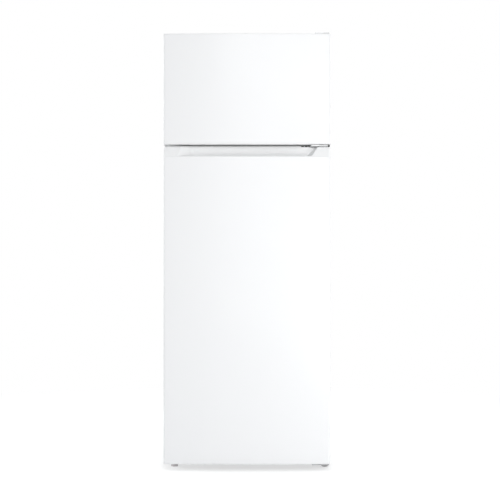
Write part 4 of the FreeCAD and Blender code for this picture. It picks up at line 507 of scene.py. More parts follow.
def wall_of(name, path, low, high):
    """An upright wall over an open path."""
    work = bmesh.new()
    bottom = [work.verts.new((x, y, low)) for x, y in path]
    top = [work.verts.new((x, y, high)) for x, y in path]
    for k in range(len(path) - 1):
        work.faces.new((bottom[k], bottom[k + 1], top[k + 1], top[k]))
    return mesh_of(work, name, recalculate=False)


def cut(piece, cutter_mesh):
    """Takes one mesh out of a piece."""
    tool = bpy.data.objects.new("cutter", cutter_mesh)
    bpy.context.scene.collection.objects.link(tool)
    boolean = piece.modifiers.new("cut", "BOOLEAN")
    boolean.object = tool
    boolean.operation = "DIFFERENCE"
    boolean.solver = "EXACT"
    settle(piece)
    bpy.data.objects.remove(tool)
    return piece


print("ring helpers ready")

# %% [markdown]
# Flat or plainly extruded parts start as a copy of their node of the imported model. That mesh is
# loose triangles with knife-sharp edges, so the copy is merged, its flat faces are joined again,
# and a narrow bevel catches the light the way a folded or moulded edge does.

# %% Dress a CAD node
merge_distance = 0.00001
flat_angle = math.radians(0.6)


def merged_copy(node):
    work = bmesh.new()
    work.from_mesh(frame["nodes"][node].data)
    bmesh.ops.remove_doubles(work, verts=work.verts, dist=merge_distance)
    bmesh.ops.dissolve_limit(
        work, angle_limit=flat_angle, use_dissolve_boundaries=False, verts=work.verts, edges=work.edges
    )
    mesh = bpy.data.meshes.new(node + "_dressed")
    work.to_mesh(mesh)
    work.free()
    return mesh


def dress(node, finish, edge):
    """A copy of the node in its finish, with soft edges where their width isn't zero."""
    piece = place_piece(node + "_dressed", merged_copy(node), node, finish)
    return soften(piece, edge) if edge else piece


print("dress() ready for", len(frame["nodes"]), "nodes")

# %% [markdown]
# What repeats or follows a path is grown with Geometry Nodes. A tree has named inputs for its
# sizes, ends in Realize Instances and Set Material, and is turned into a plain mesh at once, so
# nothing live is left on any piece.

# %% Geometry Nodes written as Python
class Growth(Recipe):
    """A Geometry Nodes tree with named inputs."""

    def __init__(self, name, **inputs):
        super().__init__(bpy.data.node_groups.new(name, "GeometryNodeTree"))
        sockets = self.tree.interface
        sockets.new_socket("Geometry", in_out="INPUT", socket_type="NodeSocketGeometry")
        sockets.new_socket("Geometry", in_out="OUTPUT", socket_type="NodeSocketGeometry")
        self.keys = {}
        for label, kind in {**inputs, "Material": "Material"}.items():
            made = sockets.new_socket(label, in_out="INPUT", socket_type="NodeSocket" + kind)
            self.keys[label] = made.identifier
        self.entry = self.tree.nodes.new("NodeGroupInput")

    def value(self, label):
        return Socket(self, self.entry.outputs[label])

    def finish(self, geometry):
        real = self.node("GeometryNodeRealizeInstances", None, {"Geometry": geometry})
        sockets = {"Geometry": real, "Material": self.value("Material")}
        painted = self.node("GeometryNodeSetMaterial", None, sockets)
        self.node("NodeGroupOutput", None, {"Geometry": painted})
        return self

    def grow(self, base, finish, **values):
        """The plain mesh that the tree makes from a base mesh."""
        seed = bpy.data.objects.new("seed", base)
        bpy.context.scene.collection.objects.link(seed)
        modifier = seed.modifiers.new("growth", "NODES")
        modifier.node_group = self.tree
        for label, value in {**values, "Material": finishes[finish]}.items():
            modifier[self.keys[label]] = value
        mesh = settle(seed).data
        bpy.data.objects.remove(seed)
        return mesh


def points_mesh(points, linked=False):
    """A mesh of loose points, or of points joined in a line."""
    mesh = bpy.data.meshes.new("points")
    links = [(k, k + 1) for k in range(len(points) - 1)] if linked else []
    mesh.from_pydata(points, links, [])
    return mesh


print("growth class ready")

# %% [markdown]
# Three trees are enough for this object. The first bends a tube along a line of corners, for the
# condenser and the copper pipes. The second repeats a piece in a row and can leave a gap where
# something else stands, for the condenser wires and the rods of the freezer shelf. The third
# sets a piece on every point, for screws and bolts.

# %% Tube, row and scatter
tube = Growth("bent_tube", Radius="Float", Bend="Float", Sides="Int", Steps="Int")
line = tube.node("GeometryNodeMeshToCurve", None, {"Mesh": tube.value("Geometry")})
bent = tube.node(
    "GeometryNodeFilletCurve",
    {"mode": "POLY"},
    {"Curve": line, "Count": tube.value("Steps"), "Radius": tube.value("Bend"), "Limit Radius": True},
)
circle = tube.node(
    "GeometryNodeCurvePrimitiveCircle",
    {"mode": "RADIUS"},
    {"Resolution": tube.value("Sides"), "Radius": tube.value("Radius")},
)
sockets = {"Curve": bent, "Profile Curve": circle, "Fill Caps": True}
tube.finish(tube.node("GeometryNodeCurveToMesh", None, sockets))

row = Growth("row", Piece="Object", Start="Vector", Step="Vector", Count="Int", Gap="Float", Room="Float")
sockets = {"Count": row.value("Count"), "Start Location": row.value("Start"), "Offset": row.value("Step")}
places = row.node("GeometryNodeMeshLine", {"mode": "OFFSET"}, sockets)
position = row.node("GeometryNodeInputPosition")
aside = row.maths("ABSOLUTE", row.node("ShaderNodeSeparateXYZ", None, {"Vector": position}))
near = row.maths("LESS_THAN", row.maths("ABSOLUTE", aside - row.value("Gap")), row.value("Room"))
kept = row.node("GeometryNodeDeleteGeometry", None, {"Geometry": places, "Selection": near})
model = row.node("GeometryNodeObjectInfo", None, {"Object": row.value("Piece")}, "Geometry")
row.finish(row.node("GeometryNodeInstanceOnPoints", None, {"Points": kept, "Instance": model}))

scatter = Growth("scatter", Piece="Object")
model = scatter.node("GeometryNodeObjectInfo", None, {"Object": scatter.value("Piece")}, "Geometry")
sockets = {"Points": scatter.value("Geometry"), "Instance": model}
scatter.finish(scatter.node("GeometryNodeInstanceOnPoints", None, sockets))
print("trees:", len(bpy.data.node_groups))


# %% Grow rows and scattered pieces
def with_model(mesh, growth, base, finish, **values):
    """Grows a tree that repeats one mesh."""
    model = bpy.data.objects.new("model", mesh)
    bpy.context.scene.collection.objects.link(model)
    made = growth.grow(base, finish, Piece=model, **values)
    bpy.data.objects.remove(model)
    return made


def row_of(mesh, finish, start, step, count, gap=0.0, room=-1.0):
    """A row of one mesh; nothing stands within the room round the gap, on either side."""
    sizes = {"Start": start, "Step": step, "Count": count, "Gap": gap, "Room": room}
    return with_model(mesh, row, points_mesh([]), finish, **sizes)


def tube_along(points, finish, radius, bend, sides, steps):
    """A tube along corners, each rounded to the radius of the bend."""
    base = points_mesh(points, linked=True)
    return tube.grow(base, finish, Radius=radius, Bend=bend, Sides=sides, Steps=steps)


def joined(*meshes):
    """One mesh of several, for parts of one piece that were grown one by one."""
    work = bmesh.new()
    for mesh in meshes:
        work.from_mesh(mesh)
    made = bpy.data.meshes.new("joined")
    work.to_mesh(made)
    work.free()
    for material in meshes[0].materials:
        made.materials.append(material)
    return made


print("rows and tubes ready")

# %% [markdown]
# The doors' skins are one sheet of steel each, folded round four upright edges and crowned a
# few millimetres. They are made from the plan: an arc for the crown, a quarter circle at each
# corner and a return at the back, pulled up into a wall and given the sheet's thickness.

# %% Plan of a door
half_width = door_high.x
door_back = door_high.y
corner_radius = 0.006
quarter_bow = 1 - math.sqrt(0.5)
sheet = 0.001
seat = 0.0003
crown_steps = 48
corner_steps = 6


def arc(start, end, bow, steps):
    """Points of an arc from start to end that bulges by bow to the right of the way."""
    first, last = Vector(start), Vector(end)
    if bow == 0:
        return [tuple(first.lerp(last, k / steps)) for k in range(steps + 1)]
    reach = (last - first).length
    along = (last - first) / reach
    right = Vector((along.y, -along.x))
    radius = (reach * reach / 4 + bow * bow) / (2 * abs(bow))
    half_turn = math.asin(reach / 2 / radius)
    points = []
    for k in range(steps + 1):
        turn = half_turn * (2 * k / steps - 1)
        aside = math.copysign(radius * (math.cos(turn) - math.cos(half_turn)), bow)
        points.append(tuple(first + along * (reach / 2 + radius * math.sin(turn)) + right * aside))
    return points


def door_face(inset=0.0, setback=0.0):
    """The crowned front of a door from left to right, with both rounded corners."""
    side = half_width - inset
    face = door_front + inset + setback
    corner = corner_radius - inset
    bow = corner * quarter_bow
    left = arc((-side, face + corner), (corner - side, face), bow, corner_steps)
    middle = arc((corner - side, face), (side - corner, face), crown, crown_steps)
    right = arc((side - corner, face), (side, face + corner), bow, corner_steps)
    return left + middle[1:-1] + right


def door_plan(inset=0.0, setback=0.0):
    """The whole plan of a door as a closed ring."""
    side = half_width - inset
    tail = door_back - inset
    return door_face(inset, setback) + [(side, tail), (-side, tail)]


print("door plan:", len(door_plan()), "points")

# %% Door skins
return_width = 0.015
fold, fold_steps = 0.0015, 3
skin_play = 0.0001
skin_edge, skin_edge_angle = 0.0004, 50


def door_skin(node):
    low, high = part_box(node)
    edge = half_width - return_width
    fold_bow = fold * quarter_bow
    side, turn = half_width - fold, door_back - fold
    back_right = arc((half_width, turn), (side, door_back), fold_bow, fold_steps)
    back_left = arc((-side, door_back), (-half_width, turn), fold_bow, fold_steps)
    path = [(-edge, door_back)] + back_left + door_face() + back_right + [(edge, door_back)]
    mesh = wall_of(node + "_skin", path, low.z + skin_play, high.z - skin_play)
    piece = place_piece(node + "_skin", mesh, node, "enamel", smooth=False)
    thick = piece.modifiers.new("sheet", "SOLIDIFY")
    thick.thickness = sheet
    thick.offset = -1
    return soften(piece, skin_edge, angle=skin_edge_angle)


for node in ("fridge_door_panel", "freezer_door_panel"):
    skin = door_skin(node)
    print(skin.name, len(skin.data.polygons), "faces")

# %% [markdown]
# The cap along the top of the lower door slopes back and holds the grip: a long trough behind
# a low lip, open to the front above it. Its ends and its back lean outwards, and the left end
# sweeps round into the back. It is cut with a Boolean from a body of stacked rings, because a
# cut gives the crisp intersection curves that the moulding has.

# %% Grip cap of the lower door
overrun = 0.005
plug_inset = sheet + seat
cap_low, cap_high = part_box("fridge_door_top_cap")
cap_height = 0.033
cap_setback = 0.013
crease = cap_high.z - cap_height
trough_depth, trough_rise = 0.018, 0.0025
trough_floor = crease - trough_depth
trough_edge = crease + trough_rise
trough_lip = 0.0045
trough_left, trough_left_flare = -0.207, 0.02
trough_right, trough_right_flare = 0.1894, 0.0453
trough_back, trough_back_slope = 0.028, 0.003
trough_left_draft, trough_right_draft = 0.04, 0.011
trough_corner = 0.002
trough_sweep = 0.014
grip_edge, grip_edge_steps, grip_edge_angle = 0.0008, 3, 20


def grip_ring(left, right, start, tail, height, bow):
    """A long ring with a crowned front, slanting ends and two round corners behind."""
    lip = door_front + trough_lip
    reach = (lip - start) / (tail - trough_corner - lip)
    near_left, back_left = left - trough_left_draft * reach, left + trough_left_draft
    near_right, back_right = right + trough_right_draft * reach, right - trough_right_draft
    front = arc((near_left, start), (near_right, start), bow, crown_steps)
    turn_bow = trough_corner * quarter_bow
    side = tail - trough_corner
    far_right = arc((back_right, side), (back_right - trough_corner, tail), turn_bow, corner_steps)
    turn = math.atan2(tail - start, back_left - near_left)
    sweep_bow = trough_sweep / math.tan(turn / 2) * (1 - math.cos(turn / 2))
    sweep_end = (back_left - trough_sweep * math.cos(turn), tail - trough_sweep * math.sin(turn))
    far_left = arc((back_left + trough_sweep, tail), sweep_end, sweep_bow, corner_steps)
    return level(front + far_right + far_left, height)


def trough_ring(height, open_front):
    rise = (height - trough_floor) / (cap_high.z - trough_floor)
    left = trough_left - trough_left_flare * rise
    right = trough_right + trough_right_flare * rise
    tail = door_front + trough_back - trough_back_slope * (1 - rise)
    start = cad_box[0].y - overrun if open_front else door_front + trough_lip
    return grip_ring(left, right, start, tail, height, 0 if open_front else crown)


pin_place = (0.254, -0.245)
bore_radius, bore_sides = 0.00405, 24
bore_depth = 0.0125


def pin_cutter(low, high):
    """A round cutter on the doors' hinge axis."""
    profile = [(bore_radius, low), (bore_radius, high)]
    return turned("bore", pin_place, profile, bore_sides, ends="closed")


body_rings = [
    level(door_plan(plug_inset), cap_low.z),
    level(door_plan(plug_inset), crease),
    level(door_plan(), crease),
    level(door_plan(0, cap_setback), cap_high.z),
]
trough_rings = [
    trough_ring(trough_floor, False),
    trough_ring(trough_edge, False),
    trough_ring(trough_edge, True),
    trough_ring(cap_high.z + overrun, True),
]
grip_mesh = stack("grip_cap", body_rings)
grip = place_piece("grip_cap", grip_mesh, "fridge_door_top_cap", "white_plastic", smooth=False)
cut(grip, stack("trough", trough_rings))
cut(grip, pin_cutter(cap_high.z - bore_depth, cap_high.z + overrun))
soften(grip, grip_edge, grip_edge_steps, grip_edge_angle)
print("grip cap:", len(grip.data.polygons), "faces, trough from", round(trough_floor, 3), "m")

# %% [markdown]
# Behind the trough the cap stands up in a low rib that closes the view into the gap between the
# doors. From the front it is the light line just under the dark one. It rises towards its left
# end, and a lower piece follows at the right.

# %% Ribs behind the trough
rib_width, rib_edge = 0.0026, 0.0004
rib_corner = 0.0012
rib_top_inset = 0.001
rib_start = door_front + trough_back + rib_edge
rib_spans = (
    (-0.262, -0.19, 0.0072, 0.0042),
    (-0.1904, 0.178, 0.0042, 0.0042),
    (0.1788, 0.2078, 0.0016, 0.0016),
)
rib_sections = ((0, None), (0, rib_corner), (rib_edge, rib_edge), (rib_top_inset, 0))
rib_solids = []
for left, right, left_height, right_height in rib_spans:
    slope = (right_height - left_height) / (right - left)
    rings = []
    for inset, drop in rib_sections:
        start, end = rib_start + inset, rib_start + rib_width - inset
        plan = oblong(left + inset, right - inset, start, end, rib_corner - inset)
        tops = [left_height + slope * (x - left) for x, _ in plan]
        rises = [-rib_edge if drop is None else top - drop for top in tops]
        rings.append([(x, y, cap_high.z + rise) for (x, y), rise in zip(plan, rises)])
    rib_solids.append(stack("grip_rib", rings))
place_piece("grip_rib", joined(*rib_solids), "fridge_door_top_cap", "white_plastic", replaced=False)
print("ribs:", [round(span[1] - span[0], 3) for span in rib_spans], "m long")

# %% [markdown]
# The other three ends of the doors are plugs with a 3 mm lip that shows as the door's last edge.
# The freezer's lower one also has a finger recess above the grip, cut the same way.

# %% End caps
cap_lip = 0.003
cap_edge, cap_edge_angle = 0.0006, 30
recess_depth = 0.02
recess_draft = 0.008
recess_left, recess_right = -0.208, 0.173
recess_front, recess_back = 0.01, 0.036


def end_cap(node, way, cutters=()):
    low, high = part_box(node)
    start, end = (low.z, high.z) if way > 0 else (high.z, low.z)
    lip = start + cap_lip * way
    wide, narrow = door_plan(), door_plan(plug_inset)
    plans = [(wide, start), (wide, lip), (narrow, lip), (narrow, end)]
    mesh = stack(node, [level(plan, height) for plan, height in plans])
    piece = place_piece(node + "_moulded", mesh, node, "white_plastic", smooth=False)
    bore = sorted((start - overrun * way, start + bore_depth * way))
    for cutter in (*cutters, pin_cutter(*bore)):
        cut(piece, cutter)
    return soften(piece, cap_edge, angle=cap_edge_angle)


def recess_ring(height):
    rise = (height - recess_low) / recess_depth
    left, right = recess_left + recess_draft * rise, recess_right - recess_draft * rise
    tail = door_front + recess_back - recess_draft * rise
    return grip_ring(left, right, door_front + recess_front, tail, height, crown)


recess_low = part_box("freezer_door_bottom_cap")[0].z
recess = stack("recess", [recess_ring(recess_low - overrun), recess_ring(recess_low + recess_depth)])
end_cap("freezer_door_bottom_cap", 1, [recess])
end_cap("freezer_door_top_cap", -1)
end_cap("fridge_door_bottom_cap", 1)
print("end caps: 3")

# %% [markdown]
# Each door closes on a soft magnetic seal. Its section is a flat foot, two thin folds that let
# it stretch, and a square bulb that holds the magnet strip. The section is swept round the door
# by stacking one rounded frame for each of its points.

# %% Gaskets
seal_radius = 0.008
seal_section = [
    (0.0, 0.0), (0.0, 0.0018), (0.0006, 0.0024), (0.0024, 0.003), (0.0016, 0.004), (0.0016, 0.0044),
    (0.0028, 0.0054), (0.0022, 0.0062), (0.002, 0.0088), (0.0028, 0.0097), (0.0122, 0.0097),
    (0.013, 0.0088), (0.0128, 0.0062), (0.0122, 0.0054), (0.0134, 0.0044), (0.0134, 0.004),
    (0.0126, 0.003), (0.0144, 0.0024), (0.015, 0.0018), (0.015, 0.0),
]


def gasket(node):
    low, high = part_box(node)
    rings = []
    for inset, depth in seal_section:
        radius = max(seal_radius - inset, seal_radius / 4)
        frame_ring = oblong(low.x + inset, high.x - inset, low.z + inset, high.z - inset, radius)
        rings.append(facing(frame_ring, low.y + depth))
    return place_piece(node + "_seal", stack(node, rings, "loop"), node, "seal")


for node in ("fridge_door_gasket", "freezer_door_gasket"):
    print(node, len(gasket(node).data.polygons), "faces")

# %% [markdown]
# The bins are thin clear mouldings: a rounded front that leans out, a thicker rim, two faint
# beads along the front and a floor with soft edges. Each is one stack of rings, up the outside,
# over the rim and down the inside, so wall and rim have a true thickness.

# %% Tubs
bin_wall = 0.002
rim_height = 0.008
rim_step, rim_round = 0.001, 0.0005
rim_proud = 0.0009
bead_height = 0.0015
foot_outside = ((0, 0.004), (0.0006, 0.0022), (0.002, 0.0011), (0.004, rim_proud))
foot_inside = ((0.005, 0), (0.0028, 0.001), (bin_wall, 0.0035))


def tub(name, plan, low, high, beads):
    """A thin-walled tub; plan(rise, inset) gives its ring at a share of the height."""
    tall = high - low
    side = rim_proud
    outside = [(low + rise, inset) for rise, inset in foot_outside]
    for share in beads:
        middle = low + share * tall
        outside += [(middle - bead_height, side), (middle, side / 3), (middle + bead_height, side)]
    outside += [(high - rim_height, side), (high - rim_height + rim_step, 0), (high - rim_round, 0)]
    rim = [(high, rim_round), (high, bin_wall + side / 2)]
    inner = bin_wall + side
    inside = [(high - rim_step, inner)] + [(low + rise, inner + inset) for rise, inset in foot_inside]
    rings = []
    for height, inset in outside + rim + inside:
        rings.append(level(plan((height - low) / tall, inset), height))
    return stack(name, rings)


bin_radius = 0.01
back_radius, least_radius = 0.0045, 0.0008
bin_beads = (0.4, 0.48)
bottle_beads = (0.3, 0.36, 0.72)


def door_bin(node, beads):
    low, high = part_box(node)

    def plan(rise, inset):
        tail = high.y - bin_radius * (1 - rise) - inset
        start = low.y + inset
        near = max(back_radius - inset, least_radius)
        far = bin_radius - inset
        left, right = low.x + inset, high.x - inset
        return rounded([(left, start, near), (right, start, near), (right, tail, far), (left, tail, far)])

    return place_piece(node + "_moulded", tub(node, plan, low.z, high.z, beads), node, "styrene")


print("bottle_bin", len(door_bin("bottle_bin", bottle_beads).data.polygons), "faces")
for door, spots in (("fridge", ("lower", "middle", "upper")), ("freezer", ("lower", "upper"))):
    for spot in spots:
        node = f"{door}_bin_{spot}"
        print(node, len(door_bin(node, bin_beads).data.polygons), "faces")

# %% [markdown]
# The crisper drawer is a bigger tub of the same kind, tapered so that it lifts out of its mould
# and slides under its glass cover. Its hooked grip is a bent strip drawn in the side view and
# stretched across.

# %% Crisper drawer
drawer_low, drawer_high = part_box("crisper_drawer")
grip_reach = 0.011
grip_half = 0.065
grip_drop = 0.014
drawer_wall = 0.0025
side_taper = 0.015
front_taper = 0.008
drawer_radius = 0.012
drawer_beads = (0.2, 0.24, 0.28)
drawer_face = drawer_low.y + grip_reach


def drawer_plan(rise, inset):
    shy = inset + side_taper * (1 - rise)
    left, right = drawer_low.x + shy, drawer_high.x - shy
    start = drawer_face + front_taper * (1 - rise) + inset
    return oblong(left, right, start, drawer_high.y - inset, drawer_radius - inset)


drawer = tub("crisper_drawer", drawer_plan, drawer_low.z, drawer_high.z, drawer_beads)
grip_top = drawer_high.z - drawer_wall
grip_root, grip_foot = drawer_face + 0.002, grip_top - grip_drop
outer, inner = drawer_low.y, drawer_low.y + drawer_wall
hook = rounded([
    (grip_root, grip_top), (outer, grip_top, 0.0045), (outer, grip_foot, 0.0008),
    (inner, grip_foot, 0.0008), (inner, grip_top - drawer_wall, 0.002), (grip_root, grip_top - drawer_wall),
])
strip = stack("hook", [across(hook, -grip_half), across(hook, grip_half)])
place_piece("crisper_drawer_moulded", drawer, "crisper_drawer", "styrene")
place_piece("crisper_grip", strip, "crisper_drawer", "styrene", replaced=False)
print("crisper:", len(drawer.polygons), "faces")

# %% [markdown]
# Toughened shelf glass has ground edges that look darker and greener than its faces, because
# light leaves there after a long way through the glass. So each pane has a thin rim of its own
# finish along its edge.

# %% Glass shelves
pane_edge = 0.0008
pane_corner = 0.003
rim_width = 0.0012


def glass_rims(node, levels):
    low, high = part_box(node)
    meshes = []
    for bottom, top in levels:
        rings = []
        for inset, height in ((0.0, bottom), (0.0, top), (rim_width, top), (rim_width, bottom)):
            left, right = low.x + inset, high.x - inset
            plan = oblong(left, right, low.y + inset, high.y - inset, pane_corner - inset)
            rings.append(level(plan, height))
        meshes.append(stack("rim", rings, "loop"))
        meshes[-1].materials.append(finishes["glass_rim"])
    return place_piece(node + "_rims", joined(*meshes), node, None, replaced=False)


glass = 0.004
shelf_pitch = 0.18
rim_play = 0.0001
for node, count in (("glass_shelves", 3), ("crisper_cover", 1)):
    dress(node, "shelf_glass", pane_edge)
    bottoms = [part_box(node)[0].z + shelf_pitch * k for k in range(count)]
    levels = [(bottom - rim_play, bottom + glass + rim_play) for bottom in bottoms]
    print(glass_rims(node, levels).name)

# %% [markdown]
# The freezer shelf is a rack of welded rods with a thick white coating. Fifteen rods run front
# to back and three run across them. Both sets are rows grown from one rod each.

# %% Freezer shelf
rack_low, rack_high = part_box("freezer_shelf")
rod_radius = (rack_high.z - rack_low.z) / 2
rod_sides = 12
rod_count, cross_count = 15, 3
rod_level = rack_low.z + rod_radius
first_x, last_x = rack_low.x + rod_radius, rack_high.x - rod_radius
first_y, last_y = rack_low.y + rod_radius, rack_high.y - rod_radius
nose = rod_radius / 2


def rod(start, end, axis):
    """A rod along one axis; its ends are chamfered."""
    ends = [(0, start), (rod_radius - nose, start), (rod_radius, start + nose)]
    ends += [(rod_radius, end - nose), (rod_radius - nose, end), (0, end)]
    return turned("rod", (0, rod_level), ends, rod_sides, axis)


long_rod = rod(rack_low.y, rack_high.y, "y")
step = (last_x - first_x) / (rod_count - 1)
long_rods = row_of(long_rod, "white_wire", (first_x, 0, 0), (step, 0, 0), rod_count)
cross_rod = rod(rack_low.x, rack_high.x, "x")
cross_step = (last_y - first_y) / (cross_count - 1)
cross_rods = row_of(cross_rod, "white_wire", (0, first_y, 0), (0, cross_step, 0), cross_count)
place_piece("freezer_rack", joined(long_rods, cross_rods), "freezer_shelf", "white_wire")
print("rack:", rod_count, "rods")

# %% [markdown]
# The lamp shines through a clear cover in the underside of the console. The real one is moulded
# with close ribs, which spread the light, inside a low frame that hides its edge. The ribs are
# one bar in a row, and the frame is one section that runs round the cover.

# %% Ribs and frame of the lamp cover
cover_low, cover_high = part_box("lamp_cover")
rib_drop, rib_thick = 0.0012, 0.0022
rib_round = 0.0005
rib_margin, lamp_rib_count = 0.005, 17
cover_corner = 0.002
frame_reach, frame_drop = 0.0035, 0.0016
frame_side, frame_top = 0.6 * frame_drop, 0.8 * frame_reach
first_rib = cover_low.x + rib_margin
rib_pitch = (cover_high.x - cover_low.x - 2 * rib_margin) / (lamp_rib_count - 1)
bar_start, bar_end = cover_low.y + rib_margin, cover_high.y - rib_margin
bar_sections = []
for inset, drop in ((0, 0), (0, rib_drop / 2), (rib_thick / 4, rib_drop)):
    bar = oblong(inset - rib_thick / 2, rib_thick / 2 - inset, bar_start, bar_end, rib_round)
    bar_sections.append(level(bar, cover_low.z - drop))
bar_mesh = stack("lamp_rib", bar_sections[::-1])
lamp_ribs = row_of(bar_mesh, "lamp_cover", (first_rib, 0, 0), (rib_pitch, 0, 0), lamp_rib_count)
place_piece("lamp_cover_ribs", lamp_ribs, "lamp_cover", "lamp_cover", replaced=False)

frame_profile = (
    (0, 0), (frame_reach, 0), (frame_reach, frame_side), (frame_top, frame_drop), (0, frame_drop)
)
frame_sections = []
for reach, drop in frame_profile:
    left, right = cover_low.x - reach, cover_high.x + reach
    ring = oblong(left, right, cover_low.y - reach, cover_high.y + reach, cover_corner + reach)
    frame_sections.append(level(ring, cover_low.z - drop))
frame_mesh = stack("lamp_frame", frame_sections[::-1], ends="loop")
place_piece("lamp_cover_frame", frame_mesh, "control_housing", "white_plastic", replaced=False)
print("lamp cover:", lamp_rib_count, "ribs,", round(rib_pitch * 1000, 1), "mm apart")

# %% [markdown]
# The thermostat's scale is printed round the knob on the underside of the housing: a plain scale
# of numbers. Text is the natural tool. Each number is a text object whose mesh is moved to its
# place, where it faces down and stands a tenth of a millimetre proud.

# %% Thermostat scale
knob_low, knob_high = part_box("thermostat_knob")
knob_middle = (knob_low + knob_high) / 2
scale_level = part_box("control_housing")[0].z
scale_radius = 0.0262
number_height = 0.0052
print_depth = 0.0001
sweep_start, sweep = math.radians(220), math.radians(260)
numbers = 6
digits = []
for k in range(numbers):
    turn = sweep_start - sweep * k / (numbers - 1)
    text = bpy.data.curves.new("number", "FONT")
    text.body = str(k)
    text.size = number_height
    text.extrude = print_depth
    text.align_x = "CENTER"
    text.align_y = "CENTER"
    item = bpy.data.objects.new("number", text)
    bpy.context.scene.collection.objects.link(item)
    bpy.context.view_layer.update()
    digit = bpy.data.meshes.new_from_object(item.evaluated_get(bpy.context.evaluated_depsgraph_get()))
    bpy.data.objects.remove(item)
    aside, ahead = scale_radius * math.cos(turn), scale_radius * math.sin(turn)
    place = Vector((knob_middle.x + aside, knob_middle.y - ahead, scale_level))
    digit.transform(Matrix.Translation(place) @ Matrix.Rotation(math.pi, 4, "X"))
    digit.materials.clear()
    digit.materials.append(finishes["dial_grey"])
    digits.append(digit)
place_piece("thermostat_scale", joined(*digits), "control_housing", None, replaced=False, smooth=False)
print("numbers:", numbers)

# %% [markdown]
# The knob is a coned disc with a grip bar across it and a pointer mark. Its rim is finely
# fluted, so the radius of each ring follows a cosine wave round the rim.

# %% Knob
knob_radius = (knob_high.x - knob_low.x) / 2
grip_tall = 0.009
disc_low, disc_high = knob_low.z + grip_tall, scale_level - seat
flutes, flute_steps = 36, 4
flute = 0.0005
shaft_radius = 0.003
cone = 0.003
disc_edge = 0.0006
disc_step = 0.001


def fluted(radius, depth):
    """A ring round the knob's middle with flutes of a depth."""
    steps = flutes * flute_steps
    ring = []
    for k in range(steps):
        turn = 2 * math.pi * k / steps
        reach = radius - depth * (0.5 - 0.5 * math.cos(turn * flutes))
        ring.append((knob_middle.x + reach * math.cos(turn), knob_middle.y + reach * math.sin(turn)))
    return ring


knob_rings = [
    level(fluted(shaft_radius, 0), knob_high.z),
    level(fluted(shaft_radius, 0), disc_high),
    level(fluted(knob_radius - disc_edge, flute), disc_high),
    level(fluted(knob_radius, flute), disc_high - disc_edge),
    level(fluted(knob_radius - cone + disc_edge, flute), disc_low + disc_step),
    level(fluted(knob_radius - cone - disc_edge, flute / 2), disc_low),
]
place_piece("knob_disc", stack("knob_disc", knob_rings), "thermostat_knob", "white_plastic")
print("knob flutes:", flutes)

# %% Grip bar and mark of the knob
bar_half, bar_reach = 0.0035, knob_radius - cone
bar_round = 0.95
bar_profile = (
    (0.0, disc_low + disc_step), (0.0, knob_low.z + 0.003), (0.0008, knob_low.z + 0.001), (0.0022, knob_low.z)
)
bar_rings = []
for inset, height in bar_profile:
    left, right = knob_middle.x - bar_half + inset, knob_middle.x + bar_half - inset
    start, end = knob_middle.y - bar_reach + inset, knob_middle.y + bar_reach - inset
    bar_rings.append(level(oblong(left, right, start, end, (bar_half - inset) * bar_round), height))
bar = stack("knob_grip", bar_rings)
place_piece("knob_grip", bar, "thermostat_knob", "white_plastic", replaced=False)

mark_half, mark_length, mark_inset, mark_sink = 0.0006, 0.008, 0.0035, 0.001
mark_start = knob_middle.y - bar_reach + mark_inset
left, right = knob_middle.x - mark_half, knob_middle.x + mark_half
mark_plan = oblong(left, right, mark_start, mark_start + mark_length, mark_half / 2)
mark_levels = (knob_low.z - print_depth / 2, knob_low.z + mark_sink)
mark = stack("knob_mark", [level(mark_plan, height) for height in mark_levels])
place_piece("knob_mark", mark, "thermostat_knob", "dial_grey", replaced=False)
print("grip bar:", round(2000 * bar_reach), "mm long")

# %% [markdown]
# The condenser behind the cabinet is one steel tube that runs to and fro, with upright wires
# welded on both sides to shed its heat, all dipped in black enamel. The tube follows a line of
# corners, so a bent-tube tree makes it. The wires are two rows, one before and one behind the
# tube, with room left for the plastic spacers.

# %% Condenser
coil_half, coil_outlet = 0.237, 0.252
coil_bottom, coil_pitch, coil_runs = 0.33, 0.065, 15
coil_end = 0.2
coil_bend = 0.03
coil_depth = 0.262
coil_radius, coil_sides, coil_steps = 0.0025, 12, 12

corners = [(-coil_half, coil_depth, coil_end)]
for run in range(coil_runs):
    height = coil_bottom + coil_pitch * run
    far = coil_outlet if run == coil_runs - 1 else coil_half
    pair = [(-coil_half, coil_depth, height), (far, coil_depth, height)]
    corners += pair if run % 2 == 0 else pair[::-1]
corners.append((coil_outlet, coil_depth, coil_end))
coil = tube_along(corners, "black_enamel", coil_radius, coil_bend, coil_sides, coil_steps)
place_piece("condenser_coil", coil, "condenser_tube", "black_enamel")
print("coil:", coil_runs, "runs,", len(coil.polygons), "faces")

# %% Condenser wires
wire_radius, wire_sides = 0.0008, 8
wire_pitch = 0.013
wire_reach = 15
wire_end = 0.014
wire_step = coil_radius + wire_radius + seat / 2
spacer_place, spacer_room = 0.145, 0.0106

wire_low = coil_bottom - wire_end
wire_high = coil_bottom + coil_pitch * (coil_runs - 1) + wire_end
wire_profile = [(0, wire_low), (wire_radius, wire_low), (wire_radius, wire_high), (0, wire_high)]
wire_faces = wire_sides * (len(wire_profile) - 1)
gap = (spacer_place, spacer_room)
wire_rows = []
for first, side in ((1 - wire_reach, -1), (-wire_reach, 1)):
    wire = turned("wire", (0, coil_depth + wire_step * side), wire_profile, wire_sides)
    start, step = (first * wire_pitch, 0, 0), (2 * wire_pitch, 0, 0)
    wire_rows.append(row_of(wire, "black_enamel", start, step, 1 - first, *gap))
wires = joined(*wire_rows)
place_piece("condenser_rods", wires, "condenser_wires", "black_enamel")
print("wires:", len(wires.polygons) // wire_faces)

# %% [markdown]
# The compressor is a deep-drawn steel can: a lower shell, a domed lid and the weld bead where
# they meet, all turned from one profile. Its stamped foot plate has rounded corners, and at each
# corner a bolt holds it on a rubber foot.

